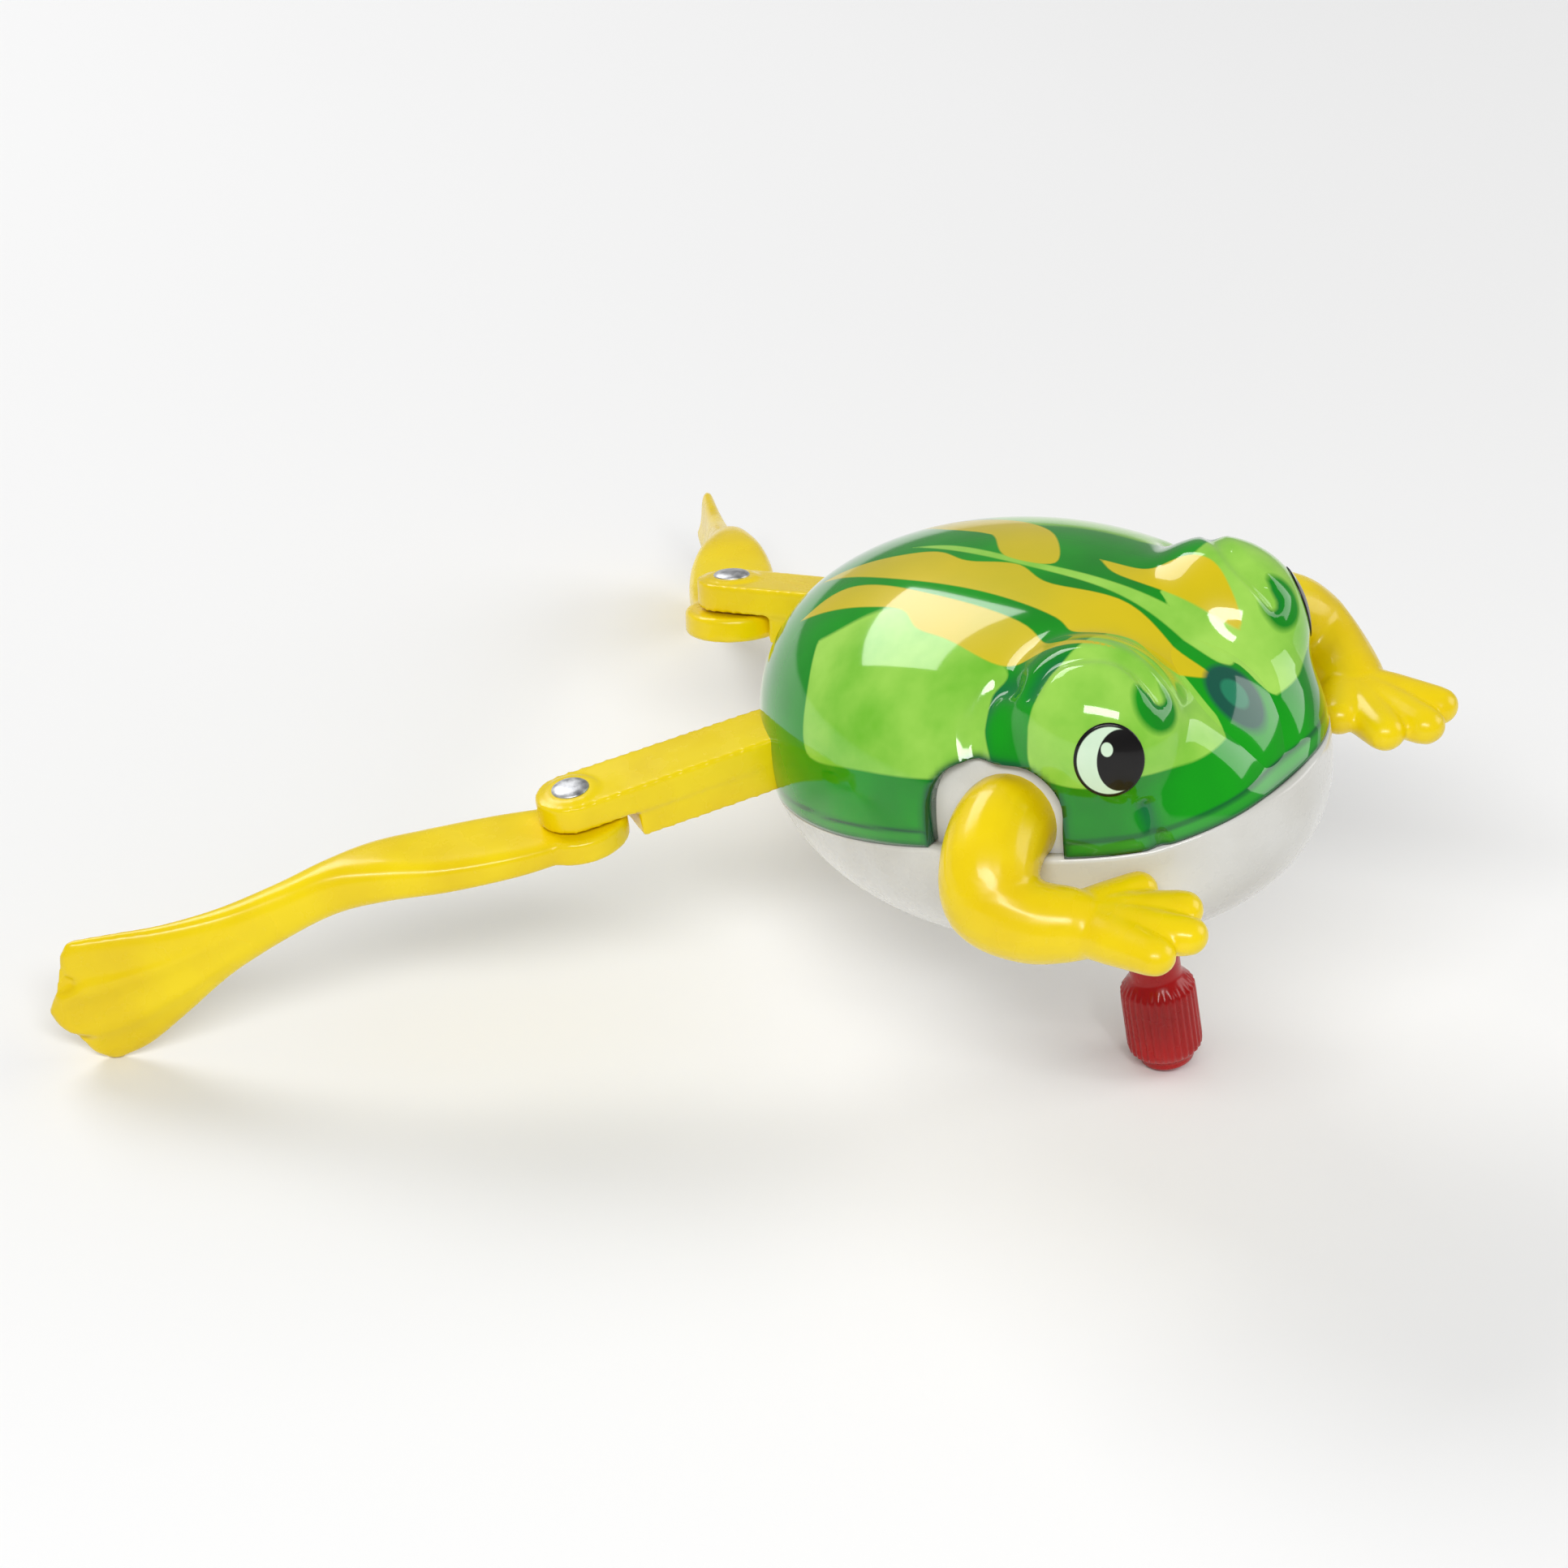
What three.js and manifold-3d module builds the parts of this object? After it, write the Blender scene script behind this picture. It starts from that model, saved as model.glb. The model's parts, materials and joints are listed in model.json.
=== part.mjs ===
// Wind-up swimming frog: a plastic bath toy with a spring motor, kicking legs and posable arms.
// Units are millimetres.
//
// The pieces are laid out in the frog's own frame: the nose points to -Y, the frog's left is +X, and
// Z = 0 lies just under the joint line between the two body shells. At the end the whole frog is tipped
// onto the three points it rests on, the winding knob and the tips of its two feet, and moved so that
// the origin is the centre of the bottom of its bounding box.

import * as THREE from "three";
import { mergeVertices } from "three/addons/utils/BufferGeometryUtils.js";
import Module from "manifold-3d";

const wasm = await Module();
wasm.setup();

// ---------------------------------------------------------------- driving dimensions

// Body shells: an ellipse in plan, and a fuller superellipse up to the top and down to the belly.
const BODY_HALF_LENGTH = 30.5;
const BODY_HALF_WIDTH = 23.5;
const DOME_HEIGHT = 18.8;
const BELLY_DEPTH = 17.4;
const BODY_FULLNESS = 2.3;
const WALL = 1.4;
const JOINT_LINE = 1.4; // lower edge of the green shell
const JOINT_GAP = 0.3;
const FIT_GAP = 0.3; // between pieces that touch
const RUNNING_GAP = 0.08; // between a shaft and its hole
const REACH = 40; // well outside the body, for the solids that divide it

// Eye bumps, one on each side of the head.
const EYE = { x: 10.4, y: -15.5, z: 10.5, halfX: 8.0, halfY: 9.0, halfZ: 8.7 };
const EYE_DECAL_RADIUS = 3.7;
const EYE_DECAL_THICKNESS = 0.25;
const EYE_DECAL_AIM = new THREE.Vector3(0.68, -0.7, 0.1).normalize();

// Arm opening in the green shell and the shoulder that turns in it.
const ARCH = { front: -17.0, back: -4.4, top: 10.0, corner: 4.5 };
const SHOULDER = { y: -11, z: 3, radius: 4.4 };
const SHOULDER_INNER_X = 12.6;
const SHOULDER_JOURNAL_RADIUS = 3;
const SHOULDER_RING = { x: 12.2, radius: 5.6, thickness: 1.3 };
const ARCH_FOOT = -6; // below the green shell's edge
const WALL_INNER_X = 13; // no part of the body's side wall is nearer to the middle
const SHOULDER_WALL_MARGIN = 1.5; // of the wall behind the arch, past the arch's edges
const ARM_RADIUS = 3.7;

// Legs. Each hip is a plain hinge on a splayed pin. The splay is what turns the leg from its forward
// pose, level and well out to the side, to its back pose, trailing and rolled outward.
const HIP = { x: 12, y: 20.9, z: 0.8 };
const FORWARD_POSE = { outward: 61, roll: 0 };
const BACK_POSE = { outward: -14, roll: 15.3 };
const THIGH_LENGTH = 24.4; // hip pin to knee pin
const THIGH_WIDTH = 6.5;
const THIGH_HEIGHT = 5.6;
const KNEE_LUG_RADIUS = 3.6;
const SHANK_LUG_RADIUS = 5.0;
const KNEE_PIN_RADIUS = 1.25;
const KNEE_HEAD_RADIUS = 1.85;
const HIP_PIN_RADIUS = 1.0;
const CALF_LENGTH = 25;
const FOOT_LENGTH = 26.2;
const FOOT_DROP = 7.3;
const FOOT_TURN = -5.2; // degrees, of the foot against the calf, outward
const FOOT_HALF_HEIGHT = 7.4;
const RIGHT_FOLD = -8.5; // degrees outward at the knee as the frog lies
const LEFT_FOLD = 63;

// Winding shaft and knob, square to the joint plane under the chest.
const WINDER_Y = -10;
const SHAFT_RADIUS = 1.5;
const SHAFT_TOP = -1.2;
const KNOB_TOP = -22.9;
const KNOB_BOTTOM = -35.9;
const KNOB_RADIUS = 3.75;
const KNOB_RIBS = 24;
const KNOB_END_RADIUS = 2.7;
const SHAFT_IN_KNOB = 6;

// Spring motor.
const TOOTH_MODULE = 0.5;
const GREAT_TEETH = 30;
const PINION_TEETH = 8;
const IDLER_TEETH = 26;
const GOVERNOR_DRIVE_TEETH = 20;
const IDLER_Y = WINDER_Y + ((GREAT_TEETH + PINION_TEETH) / 2) * TOOTH_MODULE;
const CRANK_Y = IDLER_Y + ((IDLER_TEETH + PINION_TEETH) / 2) * TOOTH_MODULE;
const GOVERNOR_DISTANCE = ((GOVERNOR_DRIVE_TEETH + PINION_TEETH) / 2) * TOOTH_MODULE;
const GOVERNOR_BEARING = THREE.MathUtils.degToRad(211);
const GOVERNOR = {
  x: GOVERNOR_DISTANCE * Math.cos(GOVERNOR_BEARING),
  y: CRANK_Y + GOVERNOR_DISTANCE * Math.sin(GOVERNOR_BEARING),
};
const BASE_PLATE = { bottom: -11.6, top: -10.6 };
const TOP_PLATE = { bottom: -2.5, top: -1.5 };
const PLATE = { halfWidth: 9, front: -18.4, back: 13.8, corner: 2 };
const PILLARS = [
  [-7.4, -16.4],
  [7.4, -16.4],
  [-6.2, 12],
  [6.2, 12],
];
const PILLAR_RADIUS = 1.2;
const AXLE_RADIUS = 0.7;
const AXLE_ENDS = { bottom: -11.4, top: -1.7 };
// Heights of the gear train's layers, from the base plate up.
const GOVERNOR_PINION = { bottom: -9.0, top: -7.4 };
const GOVERNOR_DRIVE = { bottom: -8.8, top: -7.6 };
const GOVERNOR_FLYWHEEL = { bottom: -6.6, top: -5.6, radius: 4.2 };
const SPRING_STRIP = { bottom: -10.2, top: -7.1, thickness: 0.5, outer: 6.9, turns: 3.5 };
const SPRING_CUP = { top: -7.0, radius: 8.0, inner: 7.3 };
const GREAT_GEAR = { bottom: -6.4, top: -5.0 };
const GREAT_HUB = { bottom: -6.8, top: -4.6, radius: 2.6 };
const IDLER_PINION = { bottom: -6.6, top: -4.2 };
const IDLER_GEAR = { bottom: -4.3, top: -3.1 };
const CRANK_PINION = { bottom: -4.6, top: -2.9 };
const CRANK_DISC = { bottom: -1.1, top: -0.1, radius: 5.6 };
const CRANK_SHAFT_RADIUS = 0.9;

// Hip levers and the yoke that the crank slides from side to side.
const LEVER_LENGTH = 5.5;
const LEVER_HALF_SWING = (FORWARD_POSE.outward - BACK_POSE.outward) / 2;
const CRANK_RADIUS = LEVER_LENGTH * Math.sin(THREE.MathUtils.degToRad(LEVER_HALF_SWING));
const LEVER_PIN_RADIUS = 0.8;
const YOKE = { bottom: 1.9, top: 3.1, front: 12.4, back: 18.25, wall: 0.6 };
const LEVER_SLOT_HALF_WIDTH = 1.35;
const LEVER_SLOT_OFFSET = 0.3; // outward, for the lean of the lever pins

// Pegs that hold the two shells together.
const SHELL_PEGS = [
  [0, -23.2],
  [-12.4, 6.5],
  [12.4, 6.5],
];
const PEG_RADIUS = 1.25;
const SOCKET_RADIUS = 2.5;

// ---------------------------------------------------------------- materials

const material = (color, roughness, metalness = 0, opacity = 1) =>
  new THREE.MeshStandardMaterial({
    color,
    roughness,
    metalness,
    opacity,
    transparent: opacity < 1,
  });
const greenPlastic = material(0x12952a, 0.15, 0, 0.8);
const milkyPlastic = material(0xc9c8c0, 0.35, 0, 0.9);
const yellowPlastic = material(0xf2e000, 0.3);
const redPlastic = material(0xb00a0a, 0.3);
const blackPrint = material(0x101010, 0.4);
const steel = material(0xb8babd, 0.3, 1);
const springSteel = material(0x60646c, 0.35, 1);
const whiteGearPlastic = material(0xe9e6da, 0.5);
const motorPlastic = material(0xd6d2c4, 0.5);
const sealRubber = material(0x2c2c2c, 0.8);

// ---------------------------------------------------------------- solids

const rad = THREE.MathUtils.degToRad;

function solidOf(geometry) {
  const bare = geometry.clone();
  bare.deleteAttribute("normal");
  bare.deleteAttribute("uv");
  const merged = mergeVertices(bare, 1e-4);
  return new wasm.Manifold(
    new wasm.Mesh({
      numProp: 3,
      vertProperties: merged.attributes.position.array,
      triVerts: new Uint32Array(merged.index.array),
    }),
  );
}

function geometryOf(solid) {
  const mesh = solid.getMesh();
  const geometry = new THREE.BufferGeometry();
  geometry.setAttribute("position", new THREE.BufferAttribute(mesh.vertProperties, 3));
  geometry.setIndex(new THREE.BufferAttribute(mesh.triVerts, 1));
  geometry.computeVertexNormals();
  return geometry;
}

function piece(name, solid, look) {
  const mesh = new THREE.Mesh(geometryOf(solid), look);
  mesh.name = name;
  return mesh;
}

const moved = (geometry, x, y, z) => solidOf(geometry.translate(x, y, z));

// An upright cylinder between two heights, with another top radius where one is given.
function cylinder(x, y, bottom, top, radius, sides = 12, topRadius = radius) {
  const geometry = new THREE.CylinderGeometry(topRadius, radius, top - bottom, sides);
  geometry.rotateX(Math.PI / 2);
  return moved(geometry, x, y, (bottom + top) / 2);
}

function box(x0, x1, y0, y1, z0, z1) {
  const geometry = new THREE.BoxGeometry(Math.abs(x1 - x0), y1 - y0, z1 - z0);
  return moved(geometry, (x0 + x1) / 2, (y0 + y1) / 2, (z0 + z1) / 2);
}

// An outline in X and Y raised between two heights.
function prism(shape, bottom, top, curveSegments = 6) {
  const geometry = new THREE.ExtrudeGeometry(shape, {
    depth: top - bottom,
    bevelEnabled: false,
    curveSegments,
  });
  return moved(geometry, 0, 0, bottom);
}

// An outline in Y and Z run across between two X values.
function crossPrism(shape, x0, x1, curveSegments = 6) {
  const geometry = new THREE.ExtrudeGeometry(shape, {
    depth: x1 - x0,
    bevelEnabled: false,
    curveSegments,
  });
  geometry.applyMatrix4(new THREE.Matrix4().set(0, 0, 1, x0, 1, 0, 0, 0, 0, 1, 0, 0, 0, 0, 0, 1));
  return solidOf(geometry);
}

function roundedRectangle(x0, x1, y0, y1, radius) {
  const shape = new THREE.Shape();
  shape.absarc(x1 - radius, y1 - radius, radius, 0, Math.PI / 2);
  shape.absarc(x0 + radius, y1 - radius, radius, Math.PI / 2, Math.PI);
  shape.absarc(x0 + radius, y0 + radius, radius, Math.PI, 1.5 * Math.PI);
  shape.absarc(x1 - radius, y0 + radius, radius, 1.5 * Math.PI, 2 * Math.PI);
  return shape;
}

// A round bar from one point to another, with a ball at its far end.
function finger(from, to, startRadius, endRadius, sides = 6) {
  const axis = to.clone().sub(from);
  const turn = new THREE.Quaternion().setFromUnitVectors(
    new THREE.Vector3(0, 1, 0),
    axis.clone().normalize(),
  );
  const bar = new THREE.CylinderGeometry(endRadius, startRadius, axis.length(), sides);
  bar.applyQuaternion(turn);
  const middle = from.clone().add(to).multiplyScalar(0.5);
  const tip = new THREE.SphereGeometry(endRadius, sides, 4);
  return moved(bar, middle.x, middle.y, middle.z).add(moved(tip, to.x, to.y, to.z));
}

// ---------------------------------------------------------------- body shells

// The closed body surface, moved in by inset: rings from the belly up to the top of the back.
function bodySolid(inset, columns = 28, rows = 12) {
  const power = 2 / BODY_FULLNESS;
  const positions = [];
  const index = [];
  for (let row = 0; row <= rows; row += 1) {
    const rise = -Math.PI / 2 + (Math.PI * row) / rows;
    const reach = row === 0 || row === rows ? 0 : Math.cos(rise) ** power;
    const height = (rise > 0 ? DOME_HEIGHT : BELLY_DEPTH) - inset;
    const z = Math.sign(rise) * height * Math.abs(Math.sin(rise)) ** power;
    for (let column = 0; column < columns; column += 1) {
      const turn = (2 * Math.PI * column) / columns;
      const x = (BODY_HALF_WIDTH - inset) * reach * Math.cos(turn);
      const y = (BODY_HALF_LENGTH - inset) * reach * Math.sin(turn);
      positions.push(x, y, z);
    }
  }
  // Each pole's ring is one point, so the triangles that would collapse into it are left out.
  for (let row = 0; row < rows; row += 1) {
    for (let column = 0; column < columns; column += 1) {
      const next = (column + 1) % columns;
      const a = row * columns + column;
      const b = row * columns + next;
      const c = (row + 1) * columns + next;
      const d = (row + 1) * columns + column;
      if (row > 0) index.push(a, b, c);
      if (row < rows - 1) index.push(a, c, d);
    }
  }
  const geometry = new THREE.BufferGeometry();
  geometry.setAttribute("position", new THREE.Float32BufferAttribute(positions, 3));
  geometry.setIndex(index);
  return solidOf(geometry);
}

function eyeBump(side, inset) {
  const geometry = new THREE.SphereGeometry(1, 16, 10);
  geometry.scale(EYE.halfX - inset, EYE.halfY - inset, EYE.halfZ - inset);
  return moved(geometry, side * EYE.x, EYE.y, EYE.z);
}

// The opening for the arm: upright sides and a round top, run across the body.
function archCut(side) {
  const shape = new THREE.Shape();
  const { front, back, top, corner } = ARCH;
  shape.moveTo(front, ARCH_FOOT);
  shape.lineTo(back, ARCH_FOOT);
  shape.absarc(back - corner, top - corner, corner, 0, Math.PI / 2);
  shape.absarc(front + corner, top - corner, corner, Math.PI / 2, Math.PI);
  const near = side > 0 ? WALL_INNER_X : -REACH;
  return crossPrism(shape, near, near + REACH - WALL_INNER_X, 4);
}

// The space that a leg needs to swing through the side of the body.
function legSlot(side) {
  const clearance = THIGH_WIDTH / 2 + 0.7;
  const reach = 18;
  const sweep = 6;
  const shape = new THREE.Shape();
  const corner = (outward, across, along) => {
    const a = rad(outward);
    return [
      side * (HIP.x + along * Math.sin(a) + across * Math.cos(a)),
      HIP.y + along * Math.cos(a) - across * Math.sin(a),
    ];
  };
  shape.moveTo(...corner(FORWARD_POSE.outward, clearance, -1));
  for (let step = 0; step <= sweep; step += 1) {
    const share = step / sweep;
    const outward = THREE.MathUtils.lerp(FORWARD_POSE.outward, BACK_POSE.outward, share);
    shape.lineTo(...corner(outward, THREE.MathUtils.lerp(clearance, -clearance, share), reach));
  }
  shape.lineTo(...corner(BACK_POSE.outward, -clearance, -1));
  return prism(shape, HIP.z - THIGH_HEIGHT / 2 - 1.4, HIP.z + THIGH_HEIGHT / 2 + 1.4);
}

function upperShell() {
  let outside = bodySolid(0);
  let inside = bodySolid(WALL);
  for (const side of [-1, 1]) {
    outside = outside.add(eyeBump(side, 0));
    inside = inside.add(eyeBump(side, WALL));
  }
  let shell = outside.subtract(inside);
  const aboveJoint = box(-REACH, REACH, -REACH, REACH, JOINT_LINE, REACH);
  shell = shell.intersect(aboveJoint);
  for (const side of [-1, 1]) {
    shell = shell.subtract(archCut(side)).subtract(legSlot(side));
  }
  for (const [x, y] of SHELL_PEGS) {
    const socket = cylinder(x, y, 4, 17, SOCKET_RADIUS).intersect(outside);
    const bore = cylinder(x, y, 3, 9.5, PEG_RADIUS + RUNNING_GAP);
    shell = shell.add(socket).subtract(bore);
  }
  return shell;
}

// The block of space at the side of the body that holds the wall behind the arch, up to a height.
function besideArch(side, top) {
  const front = ARCH.front - SHOULDER_WALL_MARGIN;
  const back = ARCH.back + SHOULDER_WALL_MARGIN;
  return box(WALL_INNER_X * side, REACH * side, front, back, ARCH_FOOT + 1, top);
}

// The wall that closes the arm opening from inside, with the hole that the shoulder turns in.
function shoulderWall(side) {
  const outer = bodySolid(WALL + FIT_GAP, 24, 12);
  const inner = bodySolid(2 * WALL + FIT_GAP, 24, 12);
  const reach = besideArch(side, ARCH.top + SHOULDER_WALL_MARGIN);
  return outer.subtract(inner).intersect(reach);
}

function shoulderHole(side) {
  return acrossShoulder(side * 20, 20, SHOULDER.radius + 0.25, 24);
}

function lowerShell() {
  const outside = bodySolid(0);
  const belowJoint = box(-REACH, REACH, -REACH, REACH, -REACH, JOINT_LINE - JOINT_GAP);
  let shell = outside.subtract(bodySolid(WALL)).intersect(belowJoint);
  for (const side of [-1, 1]) {
    // A thicker stretch of wall carries the shoulder wall up from the joint.
    const root = outside
      .subtract(bodySolid(2 * WALL + FIT_GAP, 24, 12))
      .intersect(besideArch(side, JOINT_LINE - JOINT_GAP));
    shell = shell.add(root).add(shoulderWall(side));
    shell = shell.subtract(shoulderHole(side)).subtract(legSlot(side));
  }
  for (const [x, y] of SHELL_PEGS) {
    const peg = cylinder(x, y, -16, 9, PEG_RADIUS).intersect(outside);
    shell = shell.add(peg);
  }
  for (const [x, y] of PILLARS) {
    const boss = cylinder(x, y, -17, BASE_PLATE.bottom - FIT_GAP, 2, 12).intersect(outside);
    shell = shell.add(boss);
  }
  for (const side of [-1, 1]) {
    shell = shell.add(hipBoss(side, outside));
  }
  const collar = cylinder(0, WINDER_Y, -17.4, -14, 4.4, 16);
  const sealSeat = cylinder(0, WINDER_Y, -20, -10, 2.6, 16);
  return shell.add(collar).subtract(sealSeat);
}

function eyeDecal(side) {
  const aim = new THREE.Vector3(side * EYE_DECAL_AIM.x, EYE_DECAL_AIM.y, EYE_DECAL_AIM.z);
  const disc = new THREE.CylinderGeometry(EYE_DECAL_RADIUS, EYE_DECAL_RADIUS, 12, 16);
  disc.translate(0, 6, 0);
  disc.applyQuaternion(new THREE.Quaternion().setFromUnitVectors(new THREE.Vector3(0, 1, 0), aim));
  return eyeBump(side, -FIT_GAP - EYE_DECAL_THICKNESS)
    .subtract(eyeBump(side, -FIT_GAP))
    .intersect(moved(disc, side * EYE.x, EYE.y, EYE.z))
    .subtract(bodySolid(-0.02));
}

// ---------------------------------------------------------------- legs

// The turn that lays a leg, drawn with its length on +Y and its outer face on +X, out on the left side.
function legTurn(pose) {
  const swing = new THREE.Quaternion().setFromAxisAngle(
    new THREE.Vector3(0, 0, 1),
    -rad(pose.outward),
  );
  const roll = new THREE.Quaternion().setFromAxisAngle(new THREE.Vector3(0, 1, 0), rad(pose.roll));
  return swing.multiply(roll);
}

// The hip pin is the one line about which a single turn takes the forward pose to the back pose.
function hipAxis() {
  const change = legTurn(BACK_POSE).multiply(legTurn(FORWARD_POSE).invert());
  const axis = new THREE.Vector3(change.x, change.y, change.z).normalize();
  return axis.z < 0 ? axis.negate() : axis;
}

// A cylinder on the left hip's pin line, in the frog's frame, from one height along the pin to another.
function onHipPin(from, to, radius, sides) {
  const geometry = new THREE.CylinderGeometry(radius, radius, to - from, sides);
  geometry.translate(0, (from + to) / 2, 0);
  geometry.applyQuaternion(
    new THREE.Quaternion().setFromUnitVectors(new THREE.Vector3(0, 1, 0), hipAxis()),
  );
  return geometry.translate(HIP.x, HIP.y, HIP.z);
}

function mirrored(geometry, side) {
  if (side > 0) return solidOf(geometry);
  geometry.scale(-1, 1, 1);
  const index = geometry.index.array;
  for (let i = 0; i < index.length; i += 3) {
    [index[i + 1], index[i + 2]] = [index[i + 2], index[i + 1]];
  }
  return solidOf(geometry);
}

function hipBoss(side, outside) {
  const boss = mirrored(onHipPin(-14, -3.4, 2.6, 14), side);
  const seat = mirrored(onHipPin(-6.5, -3, HIP_PIN_RADIUS + RUNNING_GAP, 14), side);
  return boss.intersect(outside).subtract(seat);
}

function hipPin(side) {
  return mirrored(onHipPin(-6.2, 2.4, HIP_PIN_RADIUS, 14), side);
}

// A smooth outline through the points.
function smoothOutline(points) {
  const shape = new THREE.Shape();
  shape.moveTo(points[0][0], points[0][1]);
  shape.splineThru(points.slice(1).map(([x, y]) => new THREE.Vector2(x, y)));
  return shape;
}

// The thigh, lever side and all, drawn about the hip pin with the knee on +Y.
function thighSolid() {
  const plan = new THREE.Shape();
  const half = THIGH_WIDTH / 2;
  plan.moveTo(-half, 3.4);
  plan.lineTo(half, 3.4);
  plan.absarc(0, THIGH_LENGTH, KNEE_LUG_RADIUS, 0.25, Math.PI - 0.25);
  const bar = new THREE.ExtrudeGeometry(plan, {
    depth: THIGH_HEIGHT - 1.6,
    bevelThickness: 0.8,
    bevelSize: 0.8,
    bevelOffset: -0.8,
    bevelSegments: 1,
    curveSegments: 6,
  });
  let solid = moved(bar, 0, 0, -THIGH_HEIGHT / 2 + 0.8);
  const underLug = box(-5, 5, THIGH_LENGTH - 5.6, THIGH_LENGTH + 6, -4, 0.15);
  const kneeHole = cylinder(0, THIGH_LENGTH, -4, 4, KNEE_PIN_RADIUS + RUNNING_GAP, 16);
  solid = solid.subtract(underLug).subtract(kneeHole);

  // Inside the body the thigh is a flat eye on the hip pin, with a lever that points to the yoke.
  const eye = cylinder(0, 0, -1.9, 0.8, 2.45, 14);
  const neck = box(-2.2, 2.2, 1, 4.4, -1.9, 1.3);
  const leverTurn = legTurn(FORWARD_POSE).invert();
  const leverAngle = -Math.PI / 2 - rad(LEVER_HALF_SWING);
  const toPin = new THREE.Vector3(Math.cos(leverAngle), Math.sin(leverAngle), 0)
    .multiplyScalar(LEVER_LENGTH)
    .applyQuaternion(leverTurn);
  const lever = new THREE.BoxGeometry(LEVER_LENGTH, 2.4, 1.4);
  lever.translate(LEVER_LENGTH / 2, 0, 0);
  lever.rotateZ(Math.atan2(toPin.y, toPin.x));
  solid = solid
    .add(eye)
    .add(neck)
    .add(moved(lever, 0, 0, -0.9))
    .add(cylinder(toPin.x, toPin.y, -1.6, -0.2, 1.4, 14))
    .add(cylinder(toPin.x, toPin.y, -0.4, 3.2, LEVER_PIN_RADIUS, 12));

  // The bore follows the splayed pin.
  const bore = onHipPin(-8, 8, HIP_PIN_RADIUS + RUNNING_GAP, 14);
  bore.translate(-HIP.x, -HIP.y, -HIP.z);
  bore.applyQuaternion(leverTurn);
  return solid.subtract(solidOf(bore));
}

function kneePin() {
  const shaft = cylinder(0, THIGH_LENGTH, -2.9, 2.9, KNEE_PIN_RADIUS, 16);
  const head = cylinder(0, THIGH_LENGTH, 2.85, 3.35, KNEE_HEAD_RADIUS, 18, KNEE_HEAD_RADIUS - 0.3);
  return shaft.add(head);
}

// The shank and foot in one moulding, drawn about the knee pin with the calf on +Y: the flat calf narrows
// to the ankle, turns on edge and spreads into an upright paddle with three toes.
function shankSolid() {
  const tip = CALF_LENGTH + FOOT_LENGTH;
  const side = Math.tan(rad(FOOT_TURN)) * FOOT_LENGTH;
  const plan = smoothOutline([
    [-3.0, 3],
    [-3.7, 9],
    [-3.2, 17],
    [-2.0, CALF_LENGTH],
    [-1.9 + side / 2, CALF_LENGTH + FOOT_LENGTH / 2],
    [-1.0 + side, tip + 2],
    [0.8 + side, tip + 2],
    [1.9 + side / 2, CALF_LENGTH + FOOT_LENGTH / 2],
    [2.2, CALF_LENGTH],
    [3.2, 17],
    [3.6, 9],
    [3.0, 3],
  ]);
  const ankle = CALF_LENGTH + 8;
  const toeZ = -0.6 - FOOT_DROP;
  const profile = smoothOutline([
    [3, -2.8],
    [14, -2.8],
    [CALF_LENGTH, -3.2],
    [ankle, -5.6],
    [tip - 10, toeZ - 4.6],
    [tip - 4, toeZ - FOOT_HALF_HEIGHT],
    [tip - 2.2, toeZ - 4.6],
    [tip + 1, toeZ - 2.8],
    [tip + 1.9, toeZ],
    [tip + 0.8, toeZ + 3.0],
    [tip, toeZ + 6.2],
    [tip - 3, toeZ + FOOT_HALF_HEIGHT],
    [tip - 12, toeZ + 5.2],
    [ankle, 0.2],
    [CALF_LENGTH, 2.0],
    [17, 0.9],
    [10, 0.1],
    [3, -0.15],
  ]);
  const inPlan = prism(plan, -20, 6, 2);
  const inProfile = crossPrism(profile, -8, 8, 2);
  const lug = cylinder(0, 0, -2.8, -0.15, SHANK_LUG_RADIUS, 20);
  const underThigh = cylinder(0, 0, -0.15, 6, KNEE_LUG_RADIUS + 0.5, 20);
  const hole = cylinder(0, 0, -4, 4, KNEE_PIN_RADIUS + RUNNING_GAP, 16);
  return inPlan.intersect(inProfile).subtract(underThigh).add(lug).subtract(hole);
}

// ---------------------------------------------------------------- arms

// A cylinder on the shoulder's cross axis, by the place of its middle.
function acrossShoulder(x, length, radius, sides = 16) {
  const geometry = new THREE.CylinderGeometry(radius, radius, length, sides);
  geometry.rotateZ(Math.PI / 2);
  return moved(geometry, x, SHOULDER.y, SHOULDER.z);
}

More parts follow.
